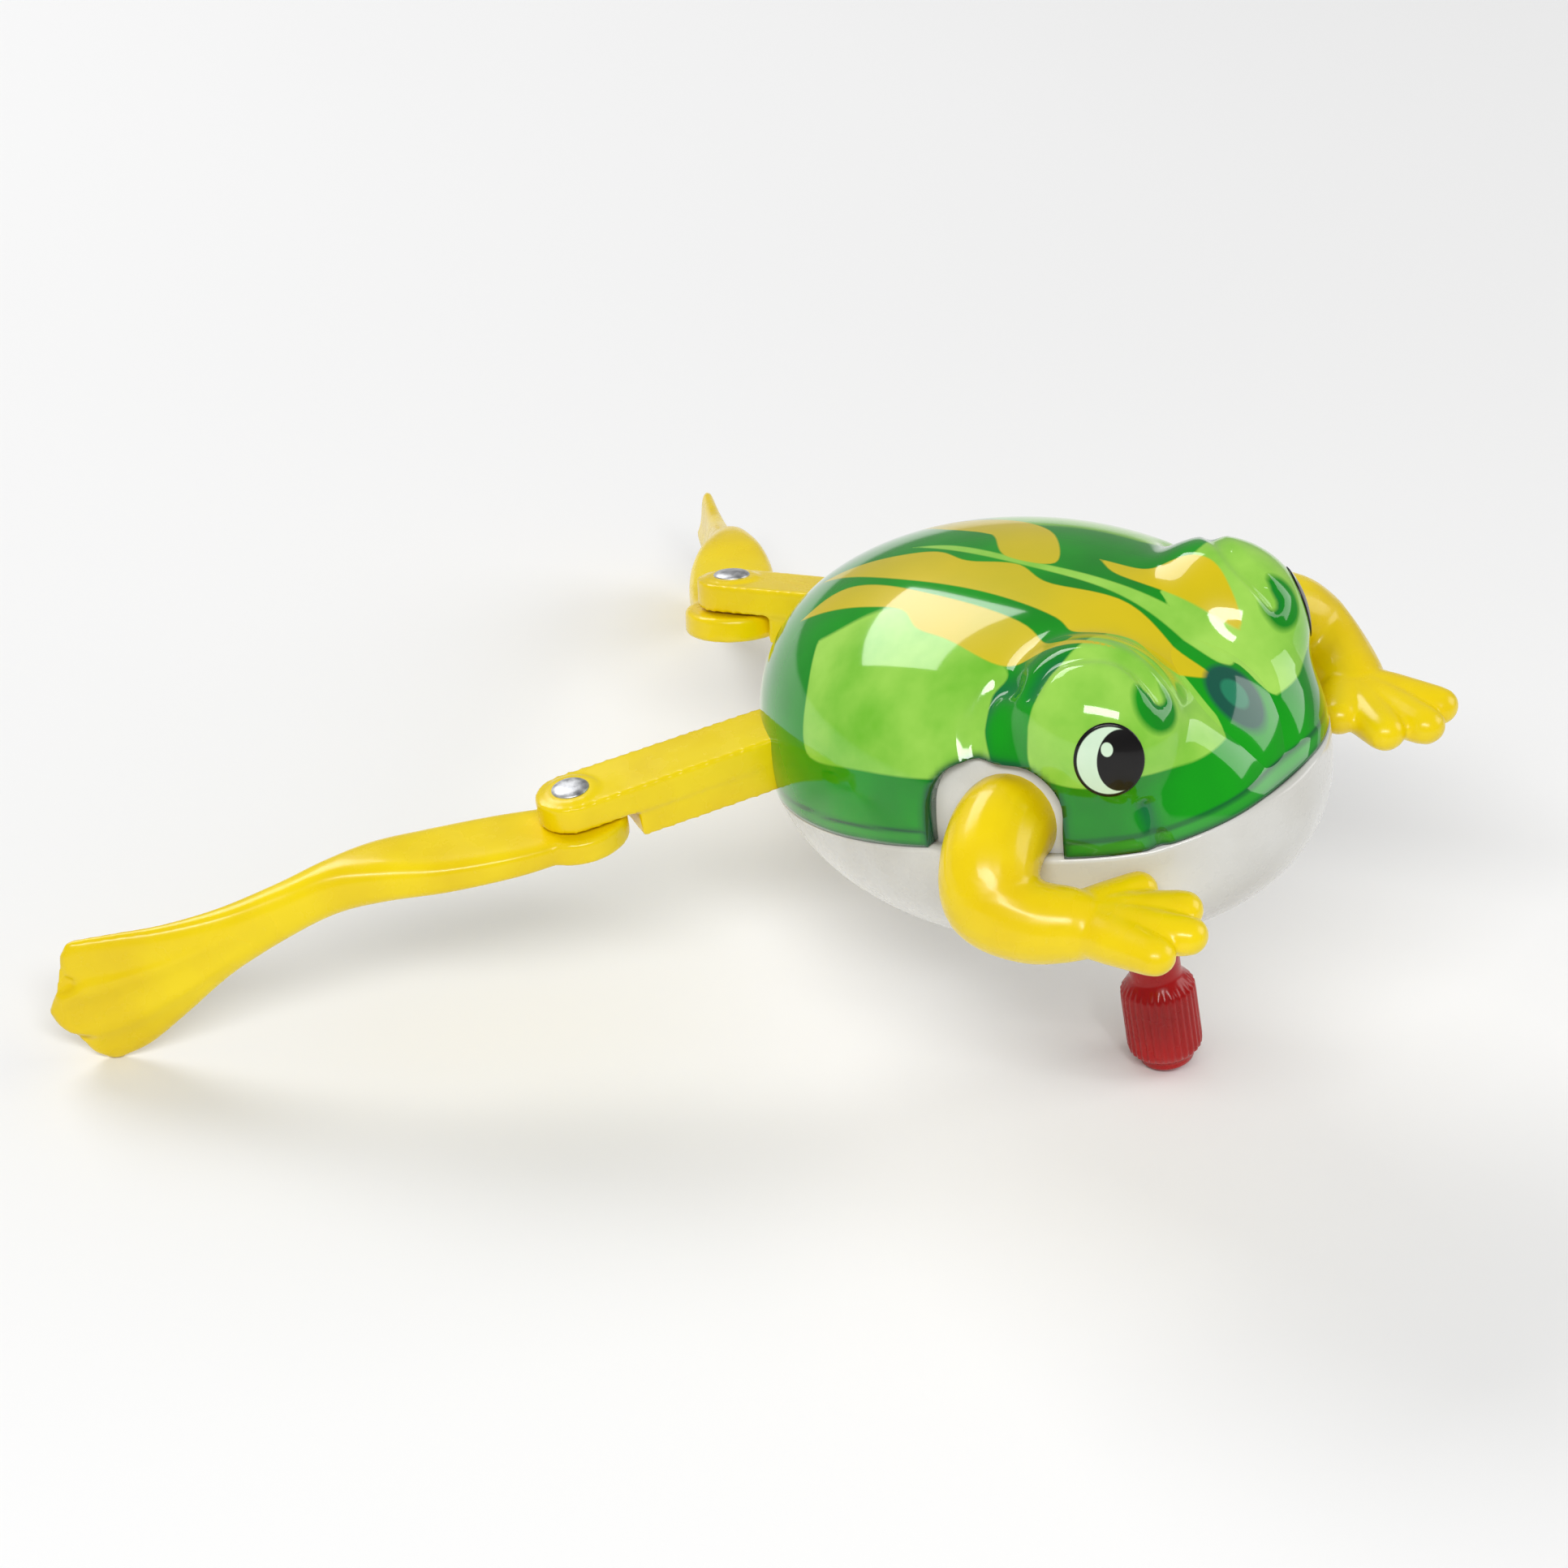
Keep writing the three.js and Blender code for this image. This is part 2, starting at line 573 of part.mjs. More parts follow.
// One arm with its webbed hand, drawn for the left side about the shoulder's cross axis.
function armSolid() {
  const at = (x, y, z) => new THREE.Vector3(x, y, z);
  const path = new THREE.CatmullRomCurve3([
    at(19.2, -11, 3),
    at(23.2, -10.7, 2.2),
    at(26.8, -9.4, -0.6),
    at(27.9, -10.6, -4.0),
    at(27.2, -14.6, -5.2),
    at(26.0, -19.6, -4.6),
  ]);
  const section = new THREE.Shape();
  section.absarc(0, 0, ARM_RADIUS, 0, 2 * Math.PI);
  const tube = new THREE.ExtrudeGeometry(section, {
    steps: 8,
    curveSegments: 4,
    bevelEnabled: false,
    extrudePath: path,
  });
  let arm = solidOf(tube);

  arm = arm
    .add(acrossShoulder(17.5, 8.2, SHOULDER.radius))
    .add(acrossShoulder(SHOULDER_INNER_X + 0.5, 5, SHOULDER_JOURNAL_RADIUS));

  const wrist = at(25.6, -19.2, -4.4);
  const tips = [
    at(16.6, -23.8, -2.0),
    at(16.8, -29.4, -2.6),
    at(20.6, -32.2, -3.0),
    at(25.0, -31.0, -3.2),
  ];
  for (const tip of tips) {
    arm = arm.add(finger(wrist, tip, 3.0, 1.5));
  }
  const web = new THREE.Shape();
  web.moveTo(wrist.x + 2.4, wrist.y);
  web.lineTo(25.4, -28);
  web.lineTo(21.4, -29.6);
  web.lineTo(18.4, -27.4);
  web.lineTo(18.4, -23.6);
  web.lineTo(wrist.x - 2.4, wrist.y);
  return arm.add(prism(web, -4.4, -2.2));
}

// The snap ring that keeps the shoulder in its wall, on the journal inside the body.
function shoulderRing(side) {
  const { x, radius, thickness } = SHOULDER_RING;
  const bore = acrossShoulder(side * x, 4, SHOULDER_JOURNAL_RADIUS + RUNNING_GAP);
  return acrossShoulder(side * x, thickness, radius).subtract(bore);
}

// ---------------------------------------------------------------- winding knob and motor

function knobSolid() {
  const body = new THREE.Shape();
  const ribDepth = 0.3;
  for (let rib = 0; rib < KNOB_RIBS; rib += 1) {
    for (const [share, radius] of [
      [0, KNOB_RADIUS - ribDepth],
      [0.5, KNOB_RADIUS],
    ]) {
      const turn = (2 * Math.PI * (rib + share)) / KNOB_RIBS;
      const x = radius * Math.cos(turn);
      const y = WINDER_Y + radius * Math.sin(turn);
      if (rib === 0 && share === 0) body.moveTo(x, y);
      else body.lineTo(x, y);
    }
  }
  const lathe = (rows) => {
    const profile = rows.map(([radius, z]) => new THREE.Vector2(radius, z));
    const geometry = new THREE.LatheGeometry(profile, 16);
    geometry.rotateX(Math.PI / 2);
    return moved(geometry, 0, WINDER_Y, 0);
  };
  const outline = lathe([
    [0, KNOB_BOTTOM],
    [KNOB_END_RADIUS, KNOB_BOTTOM],
    [KNOB_END_RADIUS, KNOB_BOTTOM + 1],
    [KNOB_RADIUS + 0.1, KNOB_BOTTOM + 2],
    [KNOB_RADIUS + 0.1, -27.2],
    [KNOB_END_RADIUS, -25.6],
    [2.6, KNOB_TOP],
    [0, KNOB_TOP],
  ]);
  const core = lathe([
    [0, KNOB_BOTTOM],
    [KNOB_END_RADIUS, KNOB_BOTTOM],
    [KNOB_END_RADIUS, -25.6],
    [2.6, KNOB_TOP],
    [0, KNOB_TOP],
  ]);
  const bore = cylinder(
    0,
    WINDER_Y,
    KNOB_TOP - SHAFT_IN_KNOB - FIT_GAP,
    KNOB_TOP + 1,
    SHAFT_RADIUS + RUNNING_GAP,
    18,
  );
  return prism(body, KNOB_BOTTOM, -25.6).intersect(outline).add(core).subtract(bore);
}

// A spur gear with slim teeth, so that a pair has play at every angle.
function gear(x, y, teeth, bottom, top, phase = 0) {
  const pitchRadius = (teeth * TOOTH_MODULE) / 2;
  const root = pitchRadius - 0.62;
  const tip = pitchRadius + 0.42;
  const shape = new THREE.Shape();
  for (let tooth = 0; tooth < teeth; tooth += 1) {
    for (const [share, radius] of [
      [-0.3, root],
      [-0.09, tip],
      [0.09, tip],
      [0.3, root],
    ]) {
      const turn = (2 * Math.PI * (tooth + share + phase)) / teeth;
      const px = x + radius * Math.cos(turn);
      const py = y + radius * Math.sin(turn);
      if (tooth === 0 && share === -0.3) shape.moveTo(px, py);
      else shape.lineTo(px, py);
    }
  }
  return prism(shape, bottom, top);
}

const drilled = (solid, x, y, radius) => solid.subtract(cylinder(x, y, -40, 20, radius));

// The meshing teeth of each pair stand half a pitch apart where the pair meets.
const GREAT_GEAR_PHASE = 0.5;
const IDLER_PINION_PHASE = 0.5;
const IDLER_GEAR_PHASE = 0.5;
const CRANK_PINION_PHASE = 0.5;

function greatGear() {
  const { bottom, top } = GREAT_GEAR;
  const hub = cylinder(0, WINDER_Y, GREAT_HUB.bottom, GREAT_HUB.top, GREAT_HUB.radius, 18);
  const solid = gear(0, WINDER_Y, GREAT_TEETH, bottom, top, GREAT_GEAR_PHASE).add(hub);
  return drilled(solid, 0, WINDER_Y, SHAFT_RADIUS + RUNNING_GAP);
}

function idlerGear() {
  const { bottom, top } = IDLER_PINION;
  const wheel = gear(0, IDLER_Y, IDLER_TEETH, IDLER_GEAR.bottom, IDLER_GEAR.top, IDLER_GEAR_PHASE);
  const solid = gear(0, IDLER_Y, PINION_TEETH, bottom, top, IDLER_PINION_PHASE).add(wheel);
  return drilled(solid, 0, IDLER_Y, AXLE_RADIUS + RUNNING_GAP);
}

function crankGear() {
  const { bottom, top } = CRANK_PINION;
  const drive = GOVERNOR_DRIVE;
  const solid = gear(0, CRANK_Y, PINION_TEETH, bottom, top, CRANK_PINION_PHASE)
    .add(cylinder(0, CRANK_Y, drive.top - 0.2, bottom + 0.1, 1.5, 16))
    .add(gear(0, CRANK_Y, GOVERNOR_DRIVE_TEETH, drive.bottom, drive.top, 0));
  return drilled(solid, 0, CRANK_Y, CRANK_SHAFT_RADIUS + RUNNING_GAP);
}

// The crank's pin stands short of the yoke's slot: the pivot where the linkage is left open.
function crankDisc() {
  const pinTop = YOKE.bottom - 0.4;
  const { bottom, top, radius } = CRANK_DISC;
  const pin = cylinder(CRANK_RADIUS, CRANK_Y, top - 0.2, pinTop, LEVER_PIN_RADIUS, 10);
  const solid = cylinder(0, CRANK_Y, bottom, top, radius, 20).add(pin);
  return drilled(solid, 0, CRANK_Y, CRANK_SHAFT_RADIUS + RUNNING_GAP);
}

function governorWheel() {
  const { x, y } = GOVERNOR;
  const pinion = GOVERNOR_PINION;
  const flywheel = GOVERNOR_FLYWHEEL;
  const solid = gear(x, y, PINION_TEETH, pinion.bottom, pinion.top, governorPhase())
    .add(cylinder(x, y, pinion.top - 0.2, flywheel.bottom + 0.2, 1.4, 14))
    .add(cylinder(x, y, flywheel.bottom, flywheel.top, flywheel.radius, 16));
  return drilled(solid, x, y, AXLE_RADIUS + RUNNING_GAP);
}

// The pinion's gap faces the drive gear's tooth along the line between their centres.
function governorPhase() {
  const driveShare = (GOVERNOR_BEARING / (2 * Math.PI)) * GOVERNOR_DRIVE_TEETH;
  const backShare = ((GOVERNOR_BEARING + Math.PI) / (2 * Math.PI)) * PINION_TEETH;
  return backShare + 0.5 + (driveShare - Math.round(driveShare));
}

// A flat spiral strip from the shaft to the cup around it.
function mainspring() {
  const { bottom, top, thickness, outer, turns } = SPRING_STRIP;
  const perTurn = 12;
  const inner = SHAFT_RADIUS + 0.5;
  const count = turns * perTurn;
  const shape = new THREE.Shape();
  const place = (step, offset) => {
    const turn = (2 * Math.PI * step) / perTurn;
    const radius = THREE.MathUtils.lerp(inner, outer - thickness, step / count) + offset;
    return [radius * Math.cos(turn), WINDER_Y + radius * Math.sin(turn)];
  };
  shape.moveTo(...place(0, 0));
  for (let step = 1; step <= count; step += 1) shape.lineTo(...place(step, 0));
  for (let step = count; step >= 0; step -= 1) shape.lineTo(...place(step, thickness));
  return prism(shape, bottom, top);
}

const axle = (x, y) => cylinder(x, y, AXLE_ENDS.bottom, AXLE_ENDS.top, AXLE_RADIUS, 14);

function plate(bottom, top) {
  const { halfWidth, front, back, corner } = PLATE;
  let solid = prism(roundedRectangle(-halfWidth, halfWidth, front, back, corner), bottom, top, 3);
  solid = drilled(solid, 0, WINDER_Y, SHAFT_RADIUS + RUNNING_GAP);
  solid = drilled(solid, 0, IDLER_Y, AXLE_RADIUS + RUNNING_GAP);
  solid = drilled(solid, 0, CRANK_Y, CRANK_SHAFT_RADIUS + RUNNING_GAP);
  return drilled(solid, GOVERNOR.x, GOVERNOR.y, AXLE_RADIUS + RUNNING_GAP);
}

// The base carries the spring's cup and the four pillars that the top plate is screwed to.
function motorBase() {
  let solid = plate(BASE_PLATE.bottom, BASE_PLATE.top);
  const cupBore = cylinder(0, WINDER_Y, BASE_PLATE.bottom - 1, 0, SPRING_CUP.inner, 20);
  const cup = cylinder(0, WINDER_Y, BASE_PLATE.top - 0.1, SPRING_CUP.top, SPRING_CUP.radius, 20);
  solid = solid.add(cup.subtract(cupBore));
  for (const [x, y] of PILLARS) {
    const pillar = cylinder(x, y, BASE_PLATE.top - 0.1, TOP_PLATE.bottom - FIT_GAP, PILLAR_RADIUS, 10);
    solid = solid.add(pillar).subtract(cylinder(x, y, -5.4, 0, 0.6, 8));
  }
  return solid;
}

// Behind the crank the top plate has a tongue with a pad that the yoke slides on.
function motorTopPlate() {
  let solid = plate(TOP_PLATE.bottom, TOP_PLATE.top);
  for (const [x, y] of PILLARS) solid = drilled(solid, x, y, 0.65);
  const tongue = box(-4, 4, PLATE.back - 1, 17.4, TOP_PLATE.bottom, TOP_PLATE.top);
  const pad = box(-4, 4, 14.4, 17.4, TOP_PLATE.top - 0.1, YOKE.bottom - FIT_GAP);
  return solid.add(tongue).add(pad);
}

function motorScrew([x, y]) {
  return cylinder(x, y, -5.0, TOP_PLATE.top + 0.3, 0.5, 8).add(
    cylinder(x, y, TOP_PLATE.top + 0.2, TOP_PLATE.top + 0.8, 1.1, 10, 0.9),
  );
}

// The yoke as it lies at rest, with the crank's pin on the frog's left: a cross bar with a slot for each
// hip lever's pin, and a tongue with the crank's slot.
function driveYoke() {
  const centre = CRANK_RADIUS;
  const slotX = HIP.x + LEVER_SLOT_OFFSET;
  const reachX = slotX + LEVER_SLOT_HALF_WIDTH + YOKE.wall;
  const bar = roundedRectangle(centre - reachX, centre + reachX, YOKE.front, YOKE.back, 2.2);
  const tongue = roundedRectangle(centre - 2.6, centre + 2.6, 0.9, YOKE.back - 0.5, 2.2);
  let solid = prism(bar, YOKE.bottom, YOKE.top, 4).add(prism(tongue, YOKE.bottom, YOKE.top, 4));
  for (const side of [-1, 1]) {
    const x = centre + side * slotX;
    const slot = roundedRectangle(
      x - LEVER_SLOT_HALF_WIDTH,
      x + LEVER_SLOT_HALF_WIDTH,
      HIP.y - LEVER_LENGTH - 1.3,
      YOKE.back - YOKE.wall,
      1.3,
    );
    solid = solid.subtract(prism(slot, 0, 5, 4));
  }
  const reach = CRANK_RADIUS + LEVER_PIN_RADIUS + 0.3;
  const half = LEVER_PIN_RADIUS + 0.4;
  const crankSlot = roundedRectangle(centre - half, centre + half, CRANK_Y - reach, CRANK_Y + reach, 1.15);
  return solid.subtract(prism(crankSlot, 0, 5, 4));
}

function shaftSeal() {
  return cylinder(0, WINDER_Y, -17.2, -14.4, 2.45, 14).subtract(
    cylinder(0, WINDER_Y, -20, -10, SHAFT_RADIUS + RUNNING_GAP, 14),
  );
}

// ---------------------------------------------------------------- the frog

const frog = new THREE.Group();

frog.add(
  piece("upper_shell", upperShell(), greenPlastic),
  piece("lower_shell", lowerShell(), milkyPlastic),
  piece("shaft_seal", shaftSeal(), sealRubber),
  piece("motor_base", motorBase(), motorPlastic),
  piece("motor_top_plate", motorTopPlate(), motorPlastic),
  piece("mainspring", mainspring(), springSteel),
  piece("great_gear", greatGear(), whiteGearPlastic),
  piece("idler_gear", idlerGear(), whiteGearPlastic),
  piece("crank_gear", crankGear(), whiteGearPlastic),
  piece("crank_disc", crankDisc(), whiteGearPlastic),
  piece("governor_wheel", governorWheel(), whiteGearPlastic),
  piece("drive_yoke", driveYoke(), yellowPlastic),
);
frog.add(
  piece("winding_knob", knobSolid(), redPlastic),
  piece(
    "winding_shaft",
    cylinder(0, WINDER_Y, KNOB_TOP - SHAFT_IN_KNOB, SHAFT_TOP, SHAFT_RADIUS, 18),
    steel,
  ),
  piece("idler_axle", axle(0, IDLER_Y), steel),
  piece(
    "crank_shaft",
    cylinder(0, CRANK_Y, AXLE_ENDS.bottom, CRANK_DISC.top - 0.1, CRANK_SHAFT_RADIUS, 14),
    steel,
  ),
  piece("governor_axle", axle(GOVERNOR.x, GOVERNOR.y), steel),
);
PILLARS.forEach((place, index) => {
  frog.add(piece("motor_screw_" + (index + 1), motorScrew(place), steel));
});

// One leg: the thigh group turns about the hip, and the shank group in it about the knee.
function addLeg(side, name, pose, fold) {
  const half = new THREE.Group();
  half.scale.x = side;
  const thigh = new THREE.Group();
  thigh.position.set(HIP.x, HIP.y, HIP.z);
  thigh.quaternion.copy(legTurn(pose));
  const shank = new THREE.Group();
  shank.position.y = THIGH_LENGTH;
  shank.rotation.z = -rad(fold);
  thigh.add(
    piece(name + "_thigh", thighSolid(), yellowPlastic),
    piece(name + "_knee_pin", kneePin(), steel),
    shank,
  );
  shank.add(piece(name + "_shank", shankSolid(), yellowPlastic));
  half.add(thigh);
  frog.add(half, piece(name + "_hip_pin", hipPin(side), steel));
}

function addArm(side, name) {
  const half = new THREE.Group();
  half.scale.x = side;
  half.add(piece(name + "_arm", armSolid(), yellowPlastic));
  frog.add(
    half,
    piece(name + "_shoulder_ring", shoulderRing(side), whiteGearPlastic),
    piece(name + "_eye_decal", eyeDecal(side), blackPrint),
  );
}

addLeg(-1, "right", FORWARD_POSE, RIGHT_FOLD);
addLeg(1, "left", BACK_POSE, LEFT_FOLD);
addArm(-1, "right");
addArm(1, "left");

// ---------------------------------------------------------------- the resting pose

// The lowest point of a mesh along a direction, in the frog's frame.
function lowestPoint(name, up) {
  frog.updateMatrixWorld(true);
  const mesh = frog.getObjectByName(name);
  const positions = mesh.geometry.getAttribute("position");
  const point = new THREE.Vector3();
  let best = new THREE.Vector3();
  let lowest = Infinity;
  for (let i = 0; i < positions.count; i += 1) {
    point.fromBufferAttribute(positions, i).applyMatrix4(mesh.matrixWorld);
    const height = point.dot(up);
    if (height < lowest) {
      lowest = height;
      best = point.clone();
    }
  }
  return best;
}

// The floor's upward normal: the plane under the knob and the two feet, found by a few repeats.
function floorNormal() {
  let up = new THREE.Vector3(0.15, -0.15, 0.97).normalize();
  for (let round = 0; round < 8; round += 1) {
    const knob = lowestPoint("winding_knob", up);
    const right = lowestPoint("right_shank", up);
    const left = lowestPoint("left_shank", up);
    const normal = left.sub(knob).cross(right.sub(knob)).normalize();
    up = normal.z < 0 ? normal.negate() : normal;
  }
  return up;
}

frog.quaternion.setFromUnitVectors(floorNormal(), new THREE.Vector3(0, 0, 1));
frog.updateMatrixWorld(true);
const bounds = new THREE.Box3().setFromObject(frog, true);
frog.position.set(
  -(bounds.min.x + bounds.max.x) / 2,
  -(bounds.min.y + bounds.max.y) / 2,
  -bounds.min.z,
);

const group = new THREE.Group();
group.add(frog);

export default group;
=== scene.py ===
"""The looks of a wind-up swimming frog: a glossy bath toy with painted shells, webbed limbs and a knob.

Shapes are drawn in millimetres in the frog's own frame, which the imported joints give: +X to its left, -Y to
its nose and +Z square to the joint between its two shells. Each leg has a frame of its own, at its hip.
"""

import json
import math

import bpy
import numpy as np
from mathutils import Matrix, Vector


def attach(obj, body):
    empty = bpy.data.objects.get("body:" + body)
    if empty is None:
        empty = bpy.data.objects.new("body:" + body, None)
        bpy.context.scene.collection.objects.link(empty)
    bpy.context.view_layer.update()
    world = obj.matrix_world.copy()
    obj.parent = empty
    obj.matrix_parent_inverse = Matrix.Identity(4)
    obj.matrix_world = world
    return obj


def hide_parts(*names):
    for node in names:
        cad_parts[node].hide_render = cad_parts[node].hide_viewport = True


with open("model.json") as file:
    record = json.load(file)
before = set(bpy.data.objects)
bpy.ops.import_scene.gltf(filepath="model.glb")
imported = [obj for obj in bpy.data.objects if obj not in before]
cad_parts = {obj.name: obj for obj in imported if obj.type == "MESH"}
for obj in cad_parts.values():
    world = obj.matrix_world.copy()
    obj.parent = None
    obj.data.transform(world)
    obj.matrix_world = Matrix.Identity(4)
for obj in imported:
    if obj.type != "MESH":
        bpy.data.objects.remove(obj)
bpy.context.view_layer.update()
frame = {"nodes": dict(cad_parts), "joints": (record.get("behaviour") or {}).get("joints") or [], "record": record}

MM = 0.001

# ---------------------------------------------------------------- frames

joints = {joint["name"]: joint for joint in frame["joints"]}

# The left shoulder's place in the frog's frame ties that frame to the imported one.
SHOULDER_AT = Vector((19, -11, 3))
LEG_PLANE = 0.8
KNEE_FOLD = {"right": -8.5, "left": 63}  # degrees outward at rest


def joint_axis(name):
    return Vector(joints[name]["axis"]).normalized()


def joint_place(name):
    return Vector(joints[name]["pos_m"])


def frame_matrix(x, y, z, origin):
    """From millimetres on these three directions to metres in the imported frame."""
    matrix = Matrix((x, y, z)).transposed() * MM
    matrix = matrix.to_4x4()
    matrix.translation = origin
    return matrix


UP = joint_axis("winder_turn")
LEFT = joint_axis("left_shoulder")
BACK = UP.cross(LEFT)


def body_matrix():
    matrix = frame_matrix(LEFT, BACK, UP, Vector((0, 0, 0)))
    matrix.translation = joint_place("left_shoulder") - matrix @ SHOULDER_AT
    return matrix


BODY = body_matrix()


def thigh_matrix(side):
    """The thigh's frame: its length on +Y from the hip, its outer face on +X, its knee pin along +Z."""
    hip = joint_place(side + "_hip")
    along = (joint_place(side + "_knee") - hip).normalized()
    pin = joint_axis(side + "_knee")
    if pin.dot(UP) < 0:
        pin.negate()
    outward = along.cross(pin)
    if side == "right":
        outward.negate()
    return frame_matrix(outward, along, pin, hip)


def shank_matrix(side):
    """The shank's frame, at the knee pin, turned by the knee's fold."""
    thigh = thigh_matrix(side)
    length = (joint_place(side + "_knee") - joint_place(side + "_hip")).length / MM
    fold = Matrix.Rotation(-math.radians(KNEE_FOLD[side]), 4, "Z")
    return thigh @ Matrix.Translation((0, length, 0)) @ fold


THIGH_LENGTH = (joint_place("right_knee") - joint_place("right_hip")).length / MM
MIRROR = Matrix.Scale(-1, 4, (1, 0, 0))

# ---------------------------------------------------------------- meshes


def add_object(name, points, faces, matrix, smooth=True):
    """A mesh object whose points are placed by the matrix. A mirroring matrix also turns the faces round."""
    rows = np.array(matrix)
    placed = np.asarray(points, float) @ rows[:3, :3].T + rows[:3, 3]
    if np.linalg.det(rows[:3, :3]) < 0:
        faces = [tuple(reversed(face)) for face in faces]
    mesh = bpy.data.meshes.new(name)
    mesh.from_pydata(placed.tolist(), [], faces)
    mesh.validate()
    mesh.polygons.foreach_set("use_smooth", [smooth] * len(mesh.polygons))
    obj = bpy.data.objects.new(name, mesh)
    bpy.context.scene.collection.objects.link(obj)
    return obj


def tube_faces(rings, columns):
    """Quads over a stack of rings, and one many-sided face to close each end."""
    faces = []
    for ring in range(rings - 1):
        for column in range(columns):
            following = (column + 1) % columns
            start = ring * columns
            faces.append(
                (
                    start + column,
                    start + following,
                    start + columns + following,
                    start + columns + column,
                )
            )
    faces.append(tuple(range(columns - 1, -1, -1)))
    faces.append(tuple((rings - 1) * columns + column for column in range(columns)))
    return faces


def rounded_section(width, height, power, columns):
    """A superellipse in X and Z, counter-clockwise about +Y looking back along it."""
    turn = np.linspace(0, 2 * np.pi, columns, endpoint=False)
    cosine = np.cos(turn)
    sine = np.sin(turn)
    x = width / 2 * np.sign(cosine) * np.abs(cosine) ** (2 / power)
    z = height / 2 * np.sign(sine) * np.abs(sine) ** (2 / power)
    return x, -z


def smooth_path(points, count):
    """A Catmull-Rom curve through the points, as count points along it."""
    nodes = [Vector(point) for point in points]
    nodes = [2 * nodes[0] - nodes[1], *nodes, 2 * nodes[-1] - nodes[-2]]
    path = []
    for step in range(count):
        place = step / (count - 1) * (len(points) - 1)
        span = min(int(place), len(points) - 2)
        share = place - span
        a, b, c, d = nodes[span : span + 4]
        path.append(
            0.5
            * (
                2 * b
                + (c - a) * share
                + (2 * a - 5 * b + 4 * c - d) * share**2
                + (3 * b - a - 3 * c + d) * share**3
            )
        )
    return path


def curved_tube(points, radii, flatness=1.0, count=40, columns=24):
    """A tube with domed ends along a curve, flattened in Z by its flatness: its points and faces."""
    path = smooth_path(points, count)
    sizes = np.interp(np.linspace(0, 1, count), np.linspace(0, 1, len(radii)), radii)
    turn = np.linspace(0, 2 * np.pi, columns, endpoint=False)
    flat = Vector((0, 0, 1))
    rings = []

    def ring(centre, direction, size):
        side = direction.cross(flat).normalized()
        top = side.cross(direction).normalized()
        for angle in turn:
            offset = side * math.cos(angle) * size + top * math.sin(angle) * size * flatness
            rings.append(centre + offset)

    dome = [0.25, 0.6, 0.86]
    start_direction = (path[1] - path[0]).normalized()
    end_direction = (path[-1] - path[-2]).normalized()
    for share in dome:
        back = math.sqrt(1 - share**2) * sizes[0]
        ring(path[0] - start_direction * back, start_direction, sizes[0] * share)
    for step in range(count):
        before = path[max(step - 1, 0)]
        after = path[min(step + 1, count - 1)]
        ring(path[step], (after - before).normalized(), sizes[step])
    for share in reversed(dome):
        forward = math.sqrt(1 - share**2) * sizes[-1]
        ring(path[-1] + end_direction * forward, end_direction, sizes[-1] * share)
    return rings, tube_faces(count + 2 * len(dome), columns)


def stack(x, y, levels, columns=48):
    """A turned solid about an upright line: levels are (height, radius) from the bottom to the top."""
    turn = np.linspace(0, 2 * np.pi, columns, endpoint=False)
    points = []
    for height, radius in levels:
        for angle in turn:
            points.append((x + radius * math.cos(angle), y + radius * math.sin(angle), height))
    return points, tube_faces(len(levels), columns)


def join_solids(solids):
    """One list of points and faces from several."""
    points = []
    faces = []
    for solid_points, solid_faces in solids:
        start = len(points)
        points.extend([tuple(point) for point in solid_points])
        faces.extend([tuple(index + start for index in face) for face in solid_faces])
    return points, faces


def apply_modifiers(obj):
    """Replaces the object's mesh by the one that its modifiers make."""
    graph = bpy.context.evaluated_depsgraph_get()
    made = bpy.data.meshes.new_from_object(obj.evaluated_get(graph))
    obj.modifiers.clear()
    obj.data = made
    made.polygons.foreach_set("use_smooth", [True] * len(made.polygons))


def mould(name, solids, matrix, voxel=0.3, smoothing=6):
    """One moulding from overlapping solids: joined on a fine grid and softened where they meet."""
    points, faces = join_solids(solids)
    obj = add_object(name, points, faces, matrix)
    remesh = obj.modifiers.new("join", "REMESH")
    remesh.mode = "VOXEL"
    remesh.voxel_size = voxel * MM
    remesh.adaptivity = 0
    soften = obj.modifiers.new("soften", "SMOOTH")
    soften.factor = 0.5
    soften.iterations = smoothing
    apply_modifiers(obj)
    return obj


def cut(obj, solid, matrix):
    """Takes a solid away from an object."""
    cutter = add_object("cutter", solid[0], solid[1], matrix)
    boolean = obj.modifiers.new("cut", "BOOLEAN")
    boolean.operation = "DIFFERENCE"
    boolean.solver = "EXACT"
    boolean.object = cutter
    apply_modifiers(obj)
    bpy.data.objects.remove(cutter)


def prism_across(outline, x0, x1):
    """A solid from an outline in Y and Z, run across from one X to another."""
    count = len(outline)
    points = [(x, y, z) for x in (x0, x1) for y, z in outline]
    return points, tube_faces(2, count)


def prism_up(outline, z0, z1):
    """A solid from an outline in X and Y, run up from one height to another."""
    count = len(outline)
    points = [(x, y, z) for z in (z0, z1) for x, y in outline]
    return points, tube_faces(2, count)


# ---------------------------------------------------------------- the body's surface

HALF_LENGTH = 30.5
HALF_WIDTH = 23.5
DOME_HEIGHT = 18.8
BELLY_DEPTH = 17.4
FULLNESS = 2.3
WALL = 1.3
EYE_CENTRE = np.array([10.4, -15.5, 10.5])
EYE_SIZE = np.array([8.0, 9.0, 8.7])
EYE_BLEND = 0.7

